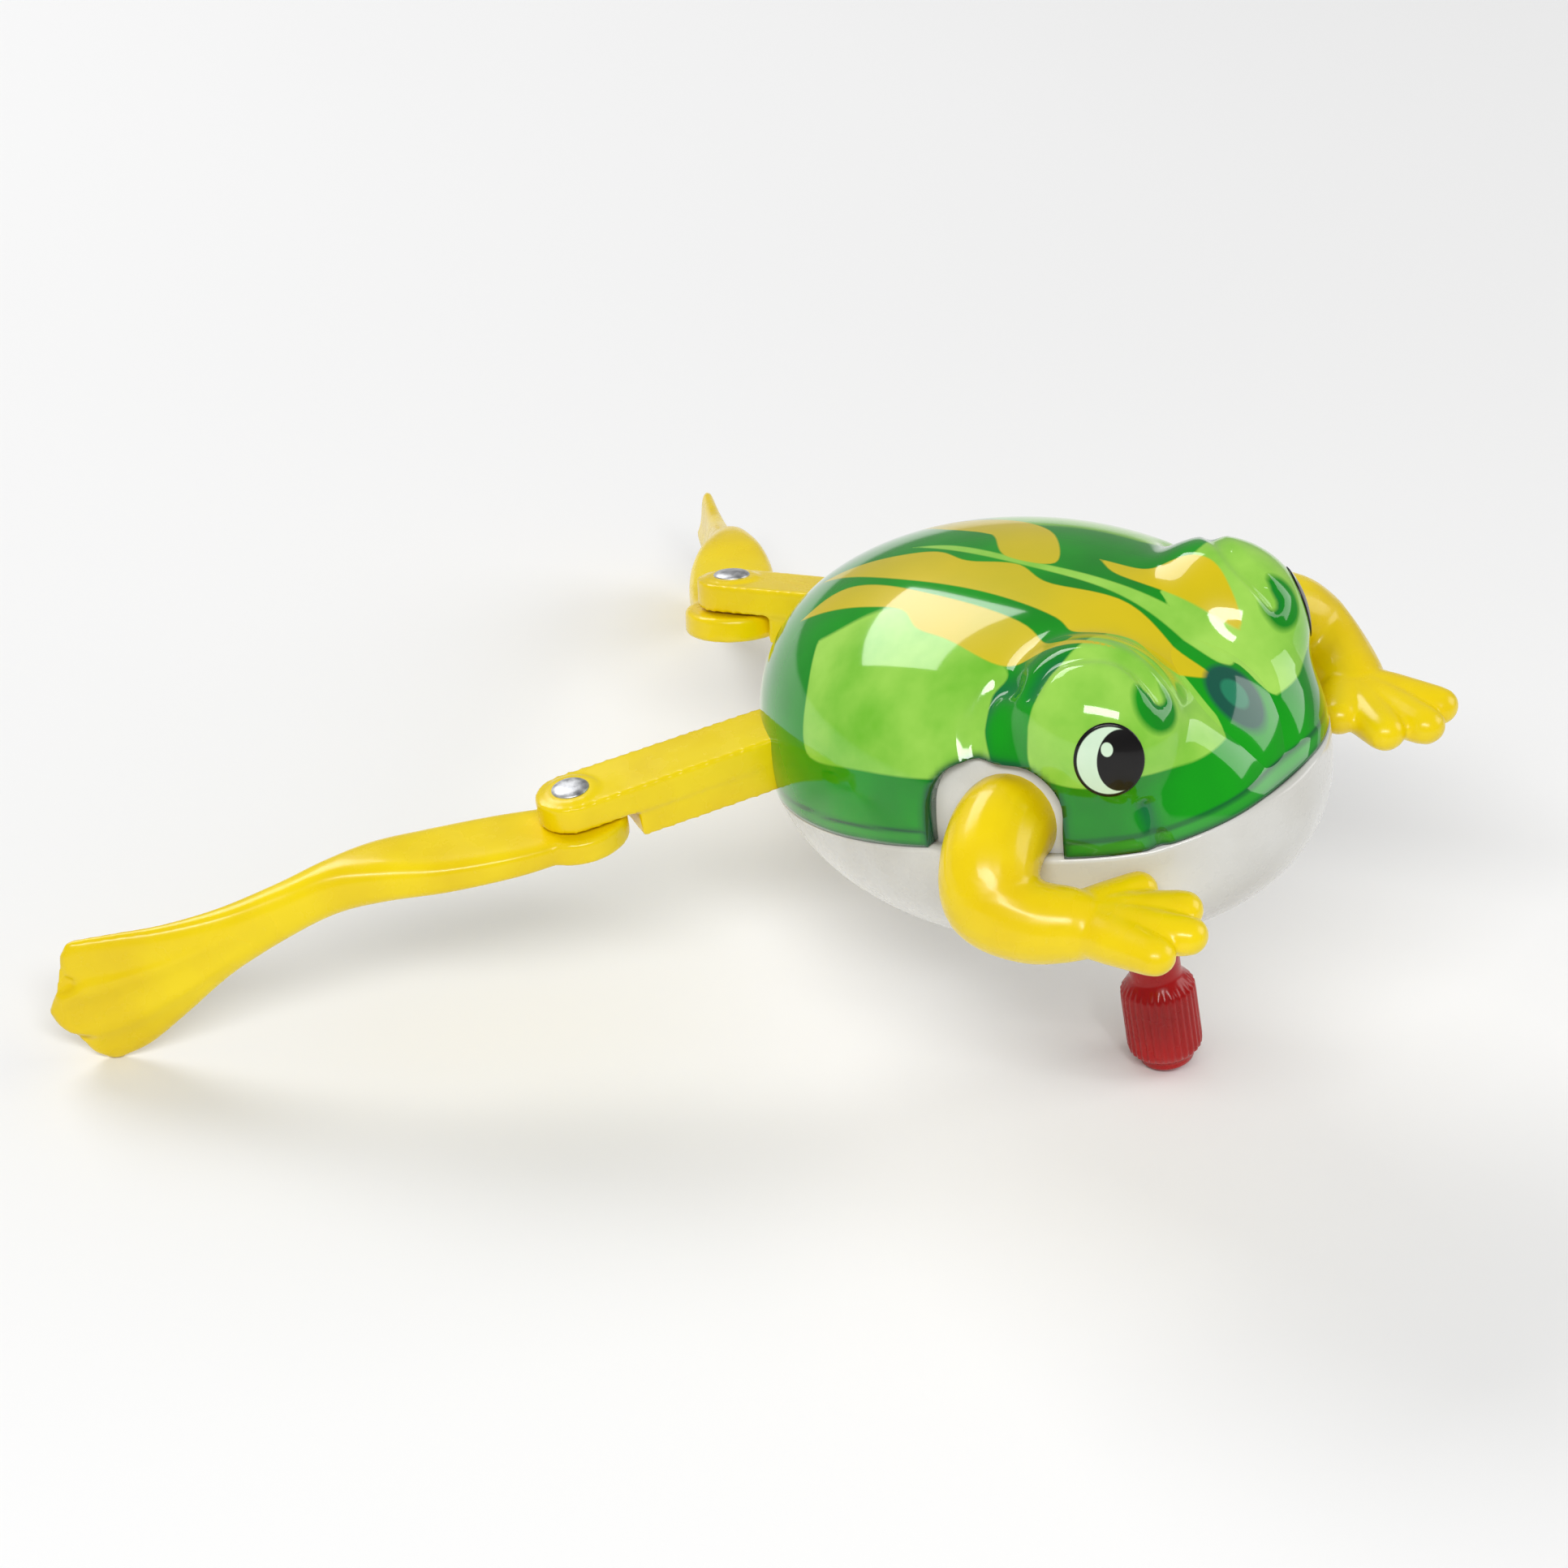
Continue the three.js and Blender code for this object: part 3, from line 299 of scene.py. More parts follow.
# Grooves pressed into the green shell, on the frog's left side and mirrored: path, half-width, depth.
OVER_EYE_PATH = [
    (15.9, -12.6, 16.4), (13.4, -13.6, 18.4), (11.3, -16.4, 19.2), (9.6, -19.4, 18.2), (9.6, -23, 15),
]
BEHIND_EYE_PATH = [
    (14.6, -9.6, 15.8), (14.8, -7.6, 15.0), (17.2, -6.9, 13.2), (19.2, -7.6, 11.2), (20.6, -9.2, 8.8),
]
UNDER_EYE_PATH = [(14.0, -23.2, 5.6), (14.3, -23.9, 3.6), (14.2, -24.4, 1.4)]
GROOVES = [(OVER_EYE_PATH, 0.75, 0.9), (BEHIND_EYE_PATH, 1.1, 1.0), (UNDER_EYE_PATH, 0.7, 0.8)]
HEAD_DIP = {"y": -23.5, "depth": 3.0, "half_x": 5.5, "half_y": 7.0, "full_height": 4}

# The peg socket behind the shell between the eyes, which is shown by colour only.
HEAD_BOSS = {"y": -24.4, "radius": 2.7, "peg": 1.25}

# Distances from the body's centre between which its surface is looked for, and the first search's step.
SEARCH = {"near": 5.0, "far": 45.0, "step": 0.5}


def body_radius_share(points):
    """How far out each point is, from 0 at the centre to 1 on the plain body."""
    height = np.where(points[:, 2] > 0, DOME_HEIGHT, BELLY_DEPTH)
    plan = np.hypot(points[:, 0] / HALF_WIDTH, points[:, 1] / HALF_LENGTH)
    rise = np.abs(points[:, 2]) / height
    return (plan**FULLNESS + rise**FULLNESS) ** (1 / FULLNESS)


def distance_to_path(points, path):
    """Each point's distance to a polyline."""
    nearest = np.full(len(points), 1e9)
    for start, end in zip(path[:-1], path[1:]):
        start = np.array(start)
        step = np.array(end) - start
        share = np.clip(((points - start) @ step) / max(step @ step, 1e-9), 0, 1)
        gap = np.linalg.norm(points - start - share[:, None] * step, axis=1)
        nearest = np.minimum(nearest, gap)
    return nearest


GROOVE_PATHS = [(smooth_path(path, 24), width, depth) for path, width, depth in GROOVES]


def on_left_half(points):
    """The points with those of the right half mirrored onto the left half."""
    return np.column_stack([np.abs(points[:, 0]), points[:, 1], points[:, 2]])


def groove_shade_mask(points):
    """How far into the grooves each point is, from 0 to 1: the mask of the painted shade in them."""
    mirrored = on_left_half(points)
    strength = np.zeros(len(points))
    for path, width, _ in GROOVE_PATHS:
        strength = np.maximum(strength, np.exp(-((distance_to_path(mirrored, path) / width) ** 2)))
    return strength


def body_field(points, detail=True):
    """Roughly each point's height above the surface. The detail is the head's dip, eye bumps and grooves."""
    length = np.linalg.norm(points, axis=1)
    share = np.maximum(body_radius_share(points), 1e-6)
    body = length * (1 - 1 / share)
    if not detail:
        return body
    mirrored = on_left_half(points)
    from_eye = mirrored - EYE_CENTRE
    eye_share = np.maximum(np.linalg.norm(from_eye / EYE_SIZE, axis=1), 1e-6)
    eye = np.linalg.norm(from_eye, axis=1) * (1 - 1 / eye_share)
    dip = HEAD_DIP["depth"] * np.exp(
        -((points[:, 0] / HEAD_DIP["half_x"]) ** 2)
        - ((points[:, 1] - HEAD_DIP["y"]) / HEAD_DIP["half_y"]) ** 2
    )
    body = body + dip * np.clip(points[:, 2] / HEAD_DIP["full_height"], 0, 1)
    lower = np.minimum(body, eye)
    field = lower - EYE_BLEND * np.log(
        np.exp(-(body - lower) / EYE_BLEND) + np.exp(-(eye - lower) / EYE_BLEND)
    )
    for path, width, depth in GROOVE_PATHS:
        gap = distance_to_path(mirrored, path)
        field = field + depth * np.exp(-((gap / width) ** 2))
    return field


def push_to_surface(directions, detail=True):
    """The body's surface point on the line from its centre along each direction."""
    low = np.full(len(directions), SEARCH["near"])
    high = np.full(len(directions), SEARCH["far"])
    found = np.zeros(len(directions), bool)
    for reach in np.arange(SEARCH["far"] - SEARCH["step"], SEARCH["near"], -SEARCH["step"]):
        inside = body_field(directions * reach, detail) < 0
        first = inside & ~found
        low[first] = reach
        high[first] = reach + SEARCH["step"]
        found |= inside
    for _ in range(12):
        middle = (low + high) / 2
        inside = body_field(directions * middle[:, None], detail) < 0
        low = np.where(inside, middle, low)
        high = np.where(inside, high, middle)
    return directions * low[:, None]


def joint_line(y):
    """The joint's height: level along the head, raised at the nose, falling to the tail behind the arms."""
    front = 1.3 + 1.1 * np.clip((-y - 24) / 6, 0, 1)
    return np.where(y < -4, front, 1.3 - 0.19 * (y + 4))


JOINT_GAP = 0.15
POLE_SHARE = 0.9995  # the last ring stops just short of the pole
STEEP_SHRINK = 0.985  # for inner points that would come too near the outer surface


def shell_grid(columns, rows, upper):
    """Directions over the upper or lower half of the body, from the joint line to the pole."""
    turn = np.linspace(0, 2 * np.pi, columns, endpoint=False)
    power = 2 / FULLNESS
    height = DOME_HEIGHT if upper else BELLY_DEPTH
    edge_y = HALF_LENGTH * np.sin(turn)
    edge_z = joint_line(edge_y) - (0 if upper else JOINT_GAP)
    signed = edge_z / np.where(edge_z > 0, DOME_HEIGHT, BELLY_DEPTH)
    edge_rise = np.arcsin(np.sign(signed) * np.abs(signed) ** (1 / power))
    pole = math.pi / 2 if upper else -math.pi / 2
    points = []
    for row in range(rows + 1):
        share = row / rows
        rise = edge_rise + (pole * POLE_SHARE - edge_rise) * share
        reach = np.cos(rise) ** power
        tall = np.where(rise > 0, DOME_HEIGHT, BELLY_DEPTH)
        z = np.sign(rise) * tall * np.abs(np.sin(rise)) ** power
        points.append(
            np.column_stack([HALF_WIDTH * reach * np.cos(turn), HALF_LENGTH * reach * np.sin(turn), z])
        )
    return np.concatenate(points)


def shell_solid(columns, rows, upper, wall):
    """A closed half shell: outer rings from the joint line to the pole, and inner rings back down."""
    base = shell_grid(columns, rows, upper)
    directions = base / np.linalg.norm(base, axis=1)[:, None]
    outer = push_to_surface(directions, detail=upper)
    inner = base * (1 - wall / np.linalg.norm(base, axis=1))[:, None]
    if upper:
        inner = np.where(
            (np.linalg.norm(outer, axis=1) - np.linalg.norm(inner, axis=1) > wall)[:, None],
            outer * (1 - wall / np.linalg.norm(outer, axis=1))[:, None],
            inner * STEEP_SHRINK,
        )
    inner[:columns, 2] = outer[:columns, 2]
    rings = rows + 1
    points = np.concatenate([outer, inner])
    faces = []
    for row in range(rows):
        for column in range(columns):
            following = (column + 1) % columns
            a = row * columns + column
            b = row * columns + following
            quad = (a, b, b + columns, a + columns)
            shift = rings * columns
            back = tuple(index + shift for index in reversed(quad))
            faces.extend([quad, back])
    for column in range(columns):
        following = (column + 1) % columns
        shift = rings * columns
        faces.append((following, column, column + shift, following + shift))
    top = (rings - 1) * columns
    faces.append(tuple(top + column for column in range(columns)))
    faces.append(tuple(top + rings * columns + column for column in reversed(range(columns))))
    if not upper:
        faces = [tuple(reversed(face)) for face in faces]
    return points, faces


# ---------------------------------------------------------------- paint

# Outlines of the paint. The stripes and the thin pearl patch along the back are (forward, across) seen
# from above. The side and head patches are pearl too, (forward, up) seen from the side, on both sides.
MIDDLE_STRIPE = [
    (-23, -3.4), (-15, -1.0), (-10, 0.2), (-5.6, -0.7), (-0.4, 0.5), (4.6, -1.1), (12.3, 0.5), (18.8, -0.6),
    (22.4, -0.6), (19.2, -3.8), (15.9, -3.5), (11.5, -6.3), (8.2, -5.3), (0.6, -4.9), (-12, -5.0),
]
SIDE_STRIPE = [
    (-21, -9.4), (-16.4, -6.1), (-5.6, -6.7), (5.7, -7.4), (11, -9.4), (18, -8.4), (11.8, -10.8),
    (6.6, -12.6), (-0.2, -11.7), (-4.2, -11.2), (-7.4, -9.3), (-12, -9.2),
]
SIDE_PATCH = [
    (-15.8, 13.7), (-14.3, 10.9), (-13.1, 6.7), (-11, 5.9), (-5, 7.0), (8.6, 9.0), (8.0, 12.4), (7.2, 14.2),
    (7.6, 16.2), (-0.8, 17.4), (-6.6, 17.6), (-11, 16.4),
]
HEAD_PATCH = [
    (13.3, 13.9), (13.7, 16.8), (15.5, 19.8), (19.6, 19.6), (21.6, 16.8), (23.2, 14.2), (24.6, 11.9),
    (26.9, 9.2), (25.8, 8.4), (22.8, 9.2), (19, 8.6), (14.1, 9.8),
]
# The frog's left side differs: its stripe stops short and starts again on the eye bump.
FAR_STRIPE = [
    (-21, 8.6), (-14, 5.8), (-8, 5.2), (-6.3, 4.6), (-2.5, 1.4), (2.8, 2.3), (-1, 7.4), (-6, 9.5), (-12, 9.6),
]
FAR_BUMP_STRIPE = [
    (6, 5.2), (10, 6), (12.5, 7.6), (14.5, 8.6), (17, 8.6), (19.5, 7.4), (21.8, 5.6), (19, 4.6), (14, 4.3),
    (9, 3.8),
]
BACK_PATCH = [(-14, 0.9), (-9, 1.7), (0, 1.5), (8, 2.2), (16, 3.2), (22, 3.4), (21, 1.2), (10, 1.0), (0, 0.6)]


def outline_distance(across, up, outline):
    """Signed distance of each place to a closed outline, negative inside."""
    corners = np.array(outline, float)
    nearest = np.full(len(across), 1e9)
    inside = np.zeros(len(across), bool)
    for start, end in zip(corners, np.roll(corners, -1, axis=0)):
        step = end - start
        gap_x = across - start[0]
        gap_y = up - start[1]
        share = np.clip((gap_x * step[0] + gap_y * step[1]) / max(step @ step, 1e-9), 0, 1)
        nearest = np.minimum(nearest, np.hypot(gap_x - share * step[0], gap_y - share * step[1]))
        crosses = (start[1] > up) != (end[1] > up)
        rise = step[1] if abs(step[1]) > 1e-9 else 1e-9
        meets = start[0] + (up - start[1]) / rise * step[0]
        inside ^= crosses & (across < meets)
    return np.where(inside, -nearest, nearest)


def smoothed(outline, count=90):
    """The outline as a closed smooth curve."""
    ring = [(*corner, 0) for corner in outline]
    path = smooth_path([*ring, ring[0]], count)
    return [(point.x, point.y) for point in path]


def paint_fields(points):
    """Signed distances to the yellow stripes and to the pearl patches, in millimetres."""
    forward = -points[:, 1]
    across = points[:, 0]
    up = points[:, 2]
    outer_side = -np.abs(across)
    on_top = np.where(up > 7, 0, (7 - up) * 3)
    stripe = outline_distance(forward, across, smoothed(MIDDLE_STRIPE))
    near = outline_distance(forward, outer_side, smoothed(SIDE_STRIPE))
    far = outline_distance(forward, across, smoothed(FAR_STRIPE))
    bump = outline_distance(forward, across, smoothed(FAR_BUMP_STRIPE))
    side_stripes = np.where(across > 0, np.minimum(far, bump), near)
    stripe = np.minimum(stripe, side_stripes) + on_top
    off_middle = np.clip(6.5 - np.abs(across), 0, None) * 2
    side = outline_distance(forward, up, smoothed(SIDE_PATCH)) + off_middle
    off_head = np.clip(4.0 - np.abs(across), 0, None) * 2
    head = outline_distance(forward, up, smoothed(HEAD_PATCH)) + off_head
    back = outline_distance(forward, across, smoothed(BACK_PATCH)) + on_top
    pearl = np.minimum(np.minimum(side, head), back)
    return stripe, pearl


FAR_AWAY = 9  # more than any distance that shows
EDGE_WIDTH = 0.45
LEDGE = {"height": 1.7, "width": 0.22}


def edge_lines(points):
    """How much each point belongs to the dark line along the shell's edges, from 0 to 1."""
    above = points[:, 2] - joint_line(points[:, 1])
    arch = outline_distance(points[:, 1], points[:, 2], arch_outline())
    arch = np.where(np.abs(points[:, 0]) > ARCH["inner_x"], np.abs(arch), FAR_AWAY)
    ledge = np.abs(above - LEDGE["height"])
    near = np.minimum(np.minimum(np.abs(above), arch) / EDGE_WIDTH, ledge / LEDGE["width"])
    return np.exp(-(near**2))


def boss_distance(points):
    """How far each point is from the peg socket between the eyes, seen from above."""
    return np.where(points[:, 2] > 3, np.hypot(points[:, 0], points[:, 1] - HEAD_BOSS["y"]), FAR_AWAY)


def add_values(obj, name, values):
    attribute = obj.data.attributes.new(name, "FLOAT", "POINT")
    attribute.data.foreach_set("value", np.asarray(values, np.float32))


def body_points(obj):
    """The object's points in millimetres in the frog's frame."""
    flat = np.zeros(len(obj.data.vertices) * 3)
    obj.data.vertices.foreach_get("co", flat)
    rows = np.array(BODY.inverted())
    return flat.reshape(-1, 3) @ rows[:3, :3].T + rows[:3, 3]


# ---------------------------------------------------------------- materials


class Surface:
    """A material whose nodes are added by short calls."""

    def __init__(self, name, **settings):
        self.material = bpy.data.materials.new(name)
        self.material.use_nodes = True
        self.tree = self.material.node_tree
        self.shader = self.tree.nodes["Principled BSDF"]
        for socket, value in settings.items():
            self.shader.inputs[socket.replace("_", " ")].default_value = value

    def add(self, kind, inputs=None, **settings):
        node = self.tree.nodes.new(kind)
        for name, value in settings.items():
            setattr(node, name, value)
        for name, value in (inputs or {}).items():
            if isinstance(value, bpy.types.NodeSocket):
                self.tree.links.new(value, node.inputs[name])
            else:
                node.inputs[name].default_value = value
        return node

    def link(self, socket, name):
        self.tree.links.new(socket, self.shader.inputs[name])

    def place(self):
        return self.add("ShaderNodeTexCoord").outputs["Object"]

    def noise(self, scale, detail=3.0):
        return self.add(
            "ShaderNodeTexNoise",
            {"Vector": self.place(), "Scale": scale, "Detail": detail},
        ).outputs["Fac"]

    def spread(self, value, low, high, to_low, to_high):
        return self.add(
            "ShaderNodeMapRange",
            {"Value": value, "From Min": low, "From Max": high, "To Min": to_low, "To Max": to_high},
        ).outputs["Result"]

    def mix(self, share, first, second):
        node = self.tree.nodes.new("ShaderNodeMix")
        node.data_type = "RGBA"
        for socket, value in ((node.inputs[0], share), (node.inputs[6], first), (node.inputs[7], second)):
            if isinstance(value, bpy.types.NodeSocket):
                self.tree.links.new(value, socket)
            else:
                socket.default_value = value
        return node.outputs[2]

    def values(self, name):
        return self.add("ShaderNodeAttribute", attribute_name=name).outputs["Fac"]

    def bump(self, height, strength, distance):
        node = self.add(
            "ShaderNodeBump", {"Height": height, "Strength": strength, "Distance": distance}
        )
        self.link(node.outputs["Normal"], "Normal")


def colour(red, green, blue):
    """A colour from display values of 0 to 255."""

    def linear(value):
        share = value / 255
        return share / 12.92 if share <= 0.04045 else ((share + 0.055) / 1.055) ** 2.4

    return (linear(red), linear(green), linear(blue), 1.0)


def moulded_plastic(name, light, dark, roughness, coat=0.0, **settings):
    """Plain glossy plastic: soft colour drift, faint handling marks and a barely uneven surface."""
    surface = Surface(name, Coat_Weight=coat, Specular_IOR_Level=0.35, **settings)
    drift = surface.spread(surface.noise(90, 4), 0.35, 0.65, 0.0, 1.0)
    surface.link(surface.mix(drift, light, dark), "Base Color")
    marks = surface.noise(320, 4)
    surface.link(surface.spread(marks, 0.3, 0.7, roughness * 0.8, roughness * 1.25), "Roughness")
    surface.bump(surface.noise(110, 2), 0.2, 0.0001)
    return surface.material


def green_shell_material():
    """Clear green plastic with satin yellow stripes over it, pearl paint behind it and painted shade in its
    grooves.
    """
    surface = Surface("green_shell", Coat_Weight=0.8, Coat_Roughness=0.05, Specular_IOR_Level=0.15)
    deep = surface.mix(
        surface.spread(surface.noise(70, 3), 0.35, 0.68, 0.0, 1.0), colour(0, 128, 16), colour(0, 158, 6)
    )
    # Painted shade: a darker teal green laid into the grooves, where shade falls.
    groove_shade = surface.values("groove_shade")
    deep = surface.mix(groove_shade, deep, colour(0, 96, 66))
    rim = surface.values("rim")
    deep = surface.mix(rim, deep, colour(70, 165, 70))
    pearl_tone = surface.spread(surface.noise(110, 4), 0.3, 0.7, 0.0, 1.0)
    pearl = surface.mix(pearl_tone, colour(112, 188, 44), colour(170, 222, 92))
    pearl_share = surface.spread(surface.values("pearl"), -0.12, 0.12, 1.0, 0.0)
    painted = surface.mix(pearl_share, deep, pearl)
    stripe_share = surface.spread(surface.values("stripe"), -0.1, 0.1, 1.0, 0.0)
    yellow = surface.mix(
        surface.spread(surface.noise(60, 3), 0.35, 0.65, 0.0, 1.0), colour(216, 192, 0), colour(200, 184, 8)
    )
    painted = surface.mix(stripe_share, painted, yellow)
    boss = surface.values("boss")
    socket = surface.spread(boss, HEAD_BOSS["radius"] - 0.3, HEAD_BOSS["radius"] + 0.3, 1.0, 0.0)
    painted = surface.mix(socket, painted, colour(8, 84, 66))
    peg = surface.spread(boss, HEAD_BOSS["peg"] - 0.15, HEAD_BOSS["peg"] + 0.15, 1.0, 0.0)
    painted = surface.mix(peg, painted, colour(30, 128, 92))
    surface.link(surface.mix(surface.values("line"), painted, colour(0, 78, 44)), "Base Color")
    surface.link(surface.spread(stripe_share, 0.0, 1.0, 0.1, 0.32), "Roughness")
    surface.bump(surface.noise(120, 2), 0.2, 0.00012)
    return surface.material


def milky_material():
    surface = Surface(
        "milky_shell", Coat_Weight=0.5, Coat_Roughness=0.08, Specular_IOR_Level=0.3
    )
    clouds = surface.spread(surface.noise(60, 3), 0.35, 0.65, 0.0, 1.0)
    surface.link(surface.mix(clouds, colour(222, 222, 218), colour(204, 202, 194)), "Base Color")
    surface.link(surface.spread(surface.noise(500, 4), 0.3, 0.7, 0.22, 0.34), "Roughness")
    surface.bump(surface.noise(150, 2), 0.2, 0.0001)
    return surface.material


def metal_material(name, tone, roughness):
    surface = Surface(name, Metallic=1.0)
    streaks = surface.noise(1400, 4)
    surface.link(
        surface.mix(surface.spread(streaks, 0.3, 0.7, 0.0, 1.0), tone, colour(225, 226, 228)), "Base Color"
    )
    surface.link(surface.spread(streaks, 0.3, 0.7, roughness * 0.7, roughness * 1.3), "Roughness")
    surface.bump(streaks, 0.3, 0.00004)
    return surface.material


def eye_material():
    """A printed eye: a black outline round a pale ring, a dark pupil set forward and a small light spot."""
    surface = Surface(
        "printed_eye", Roughness=0.3, Coat_Weight=0.3, Coat_Roughness=0.05, Specular_IOR_Level=0.2
    )
    outline = surface.spread(surface.values("outline"), -0.05, 0.05, 0.0, 1.0)
    pupil = surface.spread(surface.values("pupil"), -0.05, 0.05, 1.0, 0.0)
    spot = surface.spread(surface.values("spot"), -0.05, 0.05, 1.0, 0.0)
    ink = surface.mix(surface.noise(900, 3), colour(2, 2, 3), colour(16, 12, 12))
    pale = surface.mix(surface.noise(300, 3), colour(196, 228, 196), colour(222, 240, 216))
    tone = surface.mix(pupil, pale, ink)
    tone = surface.mix(spot, tone, pale)
    tone = surface.mix(outline, tone, ink)
    surface.link(tone, "Base Color")
    surface.bump(surface.noise(300, 2), 0.15, 0.00005)
    return surface.material


MATERIALS = {
    "green_shell": green_shell_material(),
    "milky_shell": milky_material(),
    "yellow": moulded_plastic(
        "yellow_plastic", colour(244, 216, 0), colour(232, 200, 0), 0.26, coat=0.1
    ),
    "red": moulded_plastic("red_plastic", colour(178, 0, 0), colour(154, 0, 0), 0.26, coat=0.1),
    "gear_plastic": moulded_plastic("gear_plastic", colour(236, 232, 220), colour(222, 216, 200), 0.45),
    "motor_plastic": moulded_plastic("motor_plastic", colour(214, 208, 192), colour(196, 190, 174), 0.5),
    "seal": moulded_plastic("seal_rubber", colour(34, 34, 34), colour(24, 24, 24), 0.75),
    "steel": metal_material("steel", colour(170, 172, 176), 0.42),
    "spring_steel": metal_material("spring_steel", colour(96, 100, 108), 0.35),
    "print": eye_material(),
}


def finish_piece(obj, slot, body, *nodes):
    """The piece's material, the body that it rides on and the CAD nodes that it stands for."""
    obj.data.materials.clear()
    obj.data.materials.append(MATERIALS[slot])
    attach(obj, body)
    if nodes:
        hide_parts(*nodes)
    return obj


# ---------------------------------------------------------------- shells

ARCH = {"front": -17.0, "back": -3.6, "top": 10.0, "bottom": -8, "corner": 4.5, "inner_x": 12, "outer_x": 30}
ARCH_STEPS = 8

# The sector that a thigh sweeps: degrees outward from the tail, and lengths from the hip.
LEG_SLOT = {"outward": 61, "inward": -14, "clearance": 3.95, "reach": 18, "half_height": 4.2, "steps": 12}
WALL_INSETS = (1.75, 2.9)
WALL_MARGIN = 1.2
WALL_BOTTOM = 2.5


def arch_outline():
    """Upright sides and a rounded top, in Y and Z."""
    outline = [(ARCH["front"], ARCH["bottom"]), (ARCH["back"], ARCH["bottom"])]
    radius = ARCH["corner"]
    top = ARCH["top"] - radius
    for step in range(ARCH_STEPS + 1):
        angle = math.pi / 2 * step / ARCH_STEPS
        y = ARCH["back"] - radius + radius * math.cos(angle)
        outline.append((y, top + radius * math.sin(angle)))
    for step in range(ARCH_STEPS + 1):
        angle = math.pi / 2 * (1 + step / ARCH_STEPS)
        y = ARCH["front"] + radius + radius * math.cos(angle)
        outline.append((y, top + radius * math.sin(angle)))
    return outline


def leg_slot(side):
    """The sector that a thigh sweeps about its hip, as a solid in the frog's frame.

    The cut with it doesn't open the green shell, which stays closed there, and the thighs pass through it.
    """
    to_body = BODY.inverted()
    hip = to_body @ joint_place(side + "_hip")
    sign = 1 if side == "left" else -1
    clearance = LEG_SLOT["clearance"]
    reach = LEG_SLOT["reach"]
    steps = LEG_SLOT["steps"]
    sweep = LEG_SLOT["outward"] - LEG_SLOT["inward"]
    outline = []
    for step in range(steps + 1):
        outward = math.radians(LEG_SLOT["outward"] - sweep * step / steps)
        across = clearance * (1 - 2 * step / steps)
        outline.append(
            (
                hip.x + sign * (reach * math.sin(outward) + across * math.cos(outward)),
                hip.y + reach * math.cos(outward) - across * math.sin(outward),
            )
        )
    for outward, across in ((LEG_SLOT["inward"], -clearance), (LEG_SLOT["outward"], clearance)):
        angle = math.radians(outward)
        outline.append(
            (
                hip.x + sign * (across * math.cos(angle) - math.sin(angle)),
                hip.y - across * math.sin(angle) - math.cos(angle),
            )
        )
    if sign < 0:
        outline.reverse()
    outline.reverse()
    return prism_up(outline, LEG_PLANE - LEG_SLOT["half_height"], LEG_PLANE + LEG_SLOT["half_height"])


def make_upper_shell():
    points, faces = shell_solid(300, 110, True, WALL)
    obj = add_object("green_shell", points, faces, BODY)
    for sign in (-1, 1):
        side = prism_across(arch_outline(), ARCH["inner_x"], ARCH["outer_x"])
        cut(obj, side, BODY if sign > 0 else BODY @ MIRROR)
    for side in ("right", "left"):
        cut(obj, leg_slot(side), BODY)
    place = body_points(obj)
    stripe, pearl = paint_fields(place)
    add_values(obj, "stripe", stripe)
    add_values(obj, "pearl", pearl)
    # The mask of the painted shade in the grooves.
    add_values(obj, "groove_shade", groove_shade_mask(place))
    above = place[:, 2] - joint_line(place[:, 1])
    rim = 1 - np.clip((above - 1.5) / 0.25, 0, 1)
    add_values(obj, "rim", 0.3 * rim)
    add_values(obj, "line", edge_lines(place))
    add_values(obj, "boss", boss_distance(place))
    finish_piece(obj, "green_shell", "body", "upper_shell")


def make_lower_shell():
    points, faces = shell_solid(240, 80, False, WALL)
    obj = add_object("milky_shell", points, faces, BODY)
    for side in ("right", "left"):
        cut(obj, leg_slot(side), BODY)
    finish_piece(obj, "milky_shell", "body", "lower_shell")


def make_shoulder_wall(side):
    """The milky wall that stands in the arm's opening, a little inside the green shell."""
    sign = 1 if side == "left" else -1
    columns = 28
    rows = 24
    layers = []
    wall_height = ARCH["top"] + WALL_MARGIN + WALL_BOTTOM
    wall_length = ARCH["back"] - ARCH["front"] + 2 * WALL_MARGIN
    for inset in WALL_INSETS:
        for row in range(rows):
            z = wall_height * row / (rows - 1) - WALL_BOTTOM
            for column in range(columns):
                y = ARCH["front"] - WALL_MARGIN + wall_length * column / (columns - 1)
                height = DOME_HEIGHT if z > 0 else BELLY_DEPTH
                reach = (1 - (abs(z) / height) ** FULLNESS) ** (1 / FULLNESS)
                x = HALF_WIDTH * math.sqrt(max(reach**2 - (y / HALF_LENGTH) ** 2, 0.01)) - inset
                layers.append((x, y, z))
    size = columns * rows
    faces = []
    for row in range(rows - 1):
        for column in range(columns - 1):
            a = row * columns + column
            quad = (a, a + columns, a + columns + 1, a + 1)
            faces.append(quad)
            faces.append(tuple(index + size for index in reversed(quad)))
    border = list(range(columns))
    border += [row * columns + columns - 1 for row in range(1, rows)]
    border += [(rows - 1) * columns + column for column in range(columns - 2, -1, -1)]
    border += [row * columns for row in range(rows - 2, 0, -1)]
    for here, there in zip(border, border[1:] + border[:1]):
        faces.append((here, there, there + size, here + size))
    matrix = BODY if sign > 0 else BODY @ MIRROR
    obj = add_object(side + "_shoulder_wall", layers, faces, matrix)
    finish_piece(obj, "milky_shell", "body")


EYE_PRINT = {"narrowing": 0.88, "outline": 0.32, "radius": 3.75, "proud": 0.14, "sunk": 0.1}
EYE_AIM = (0.68, -0.7, 0.1)
PUPIL = {"forward": 1.0, "narrowing": 0.71, "radius": 3.15}
SPOT = {"forward": -0.25, "narrowing": 0.8, "up": 1.35, "radius": 0.7}


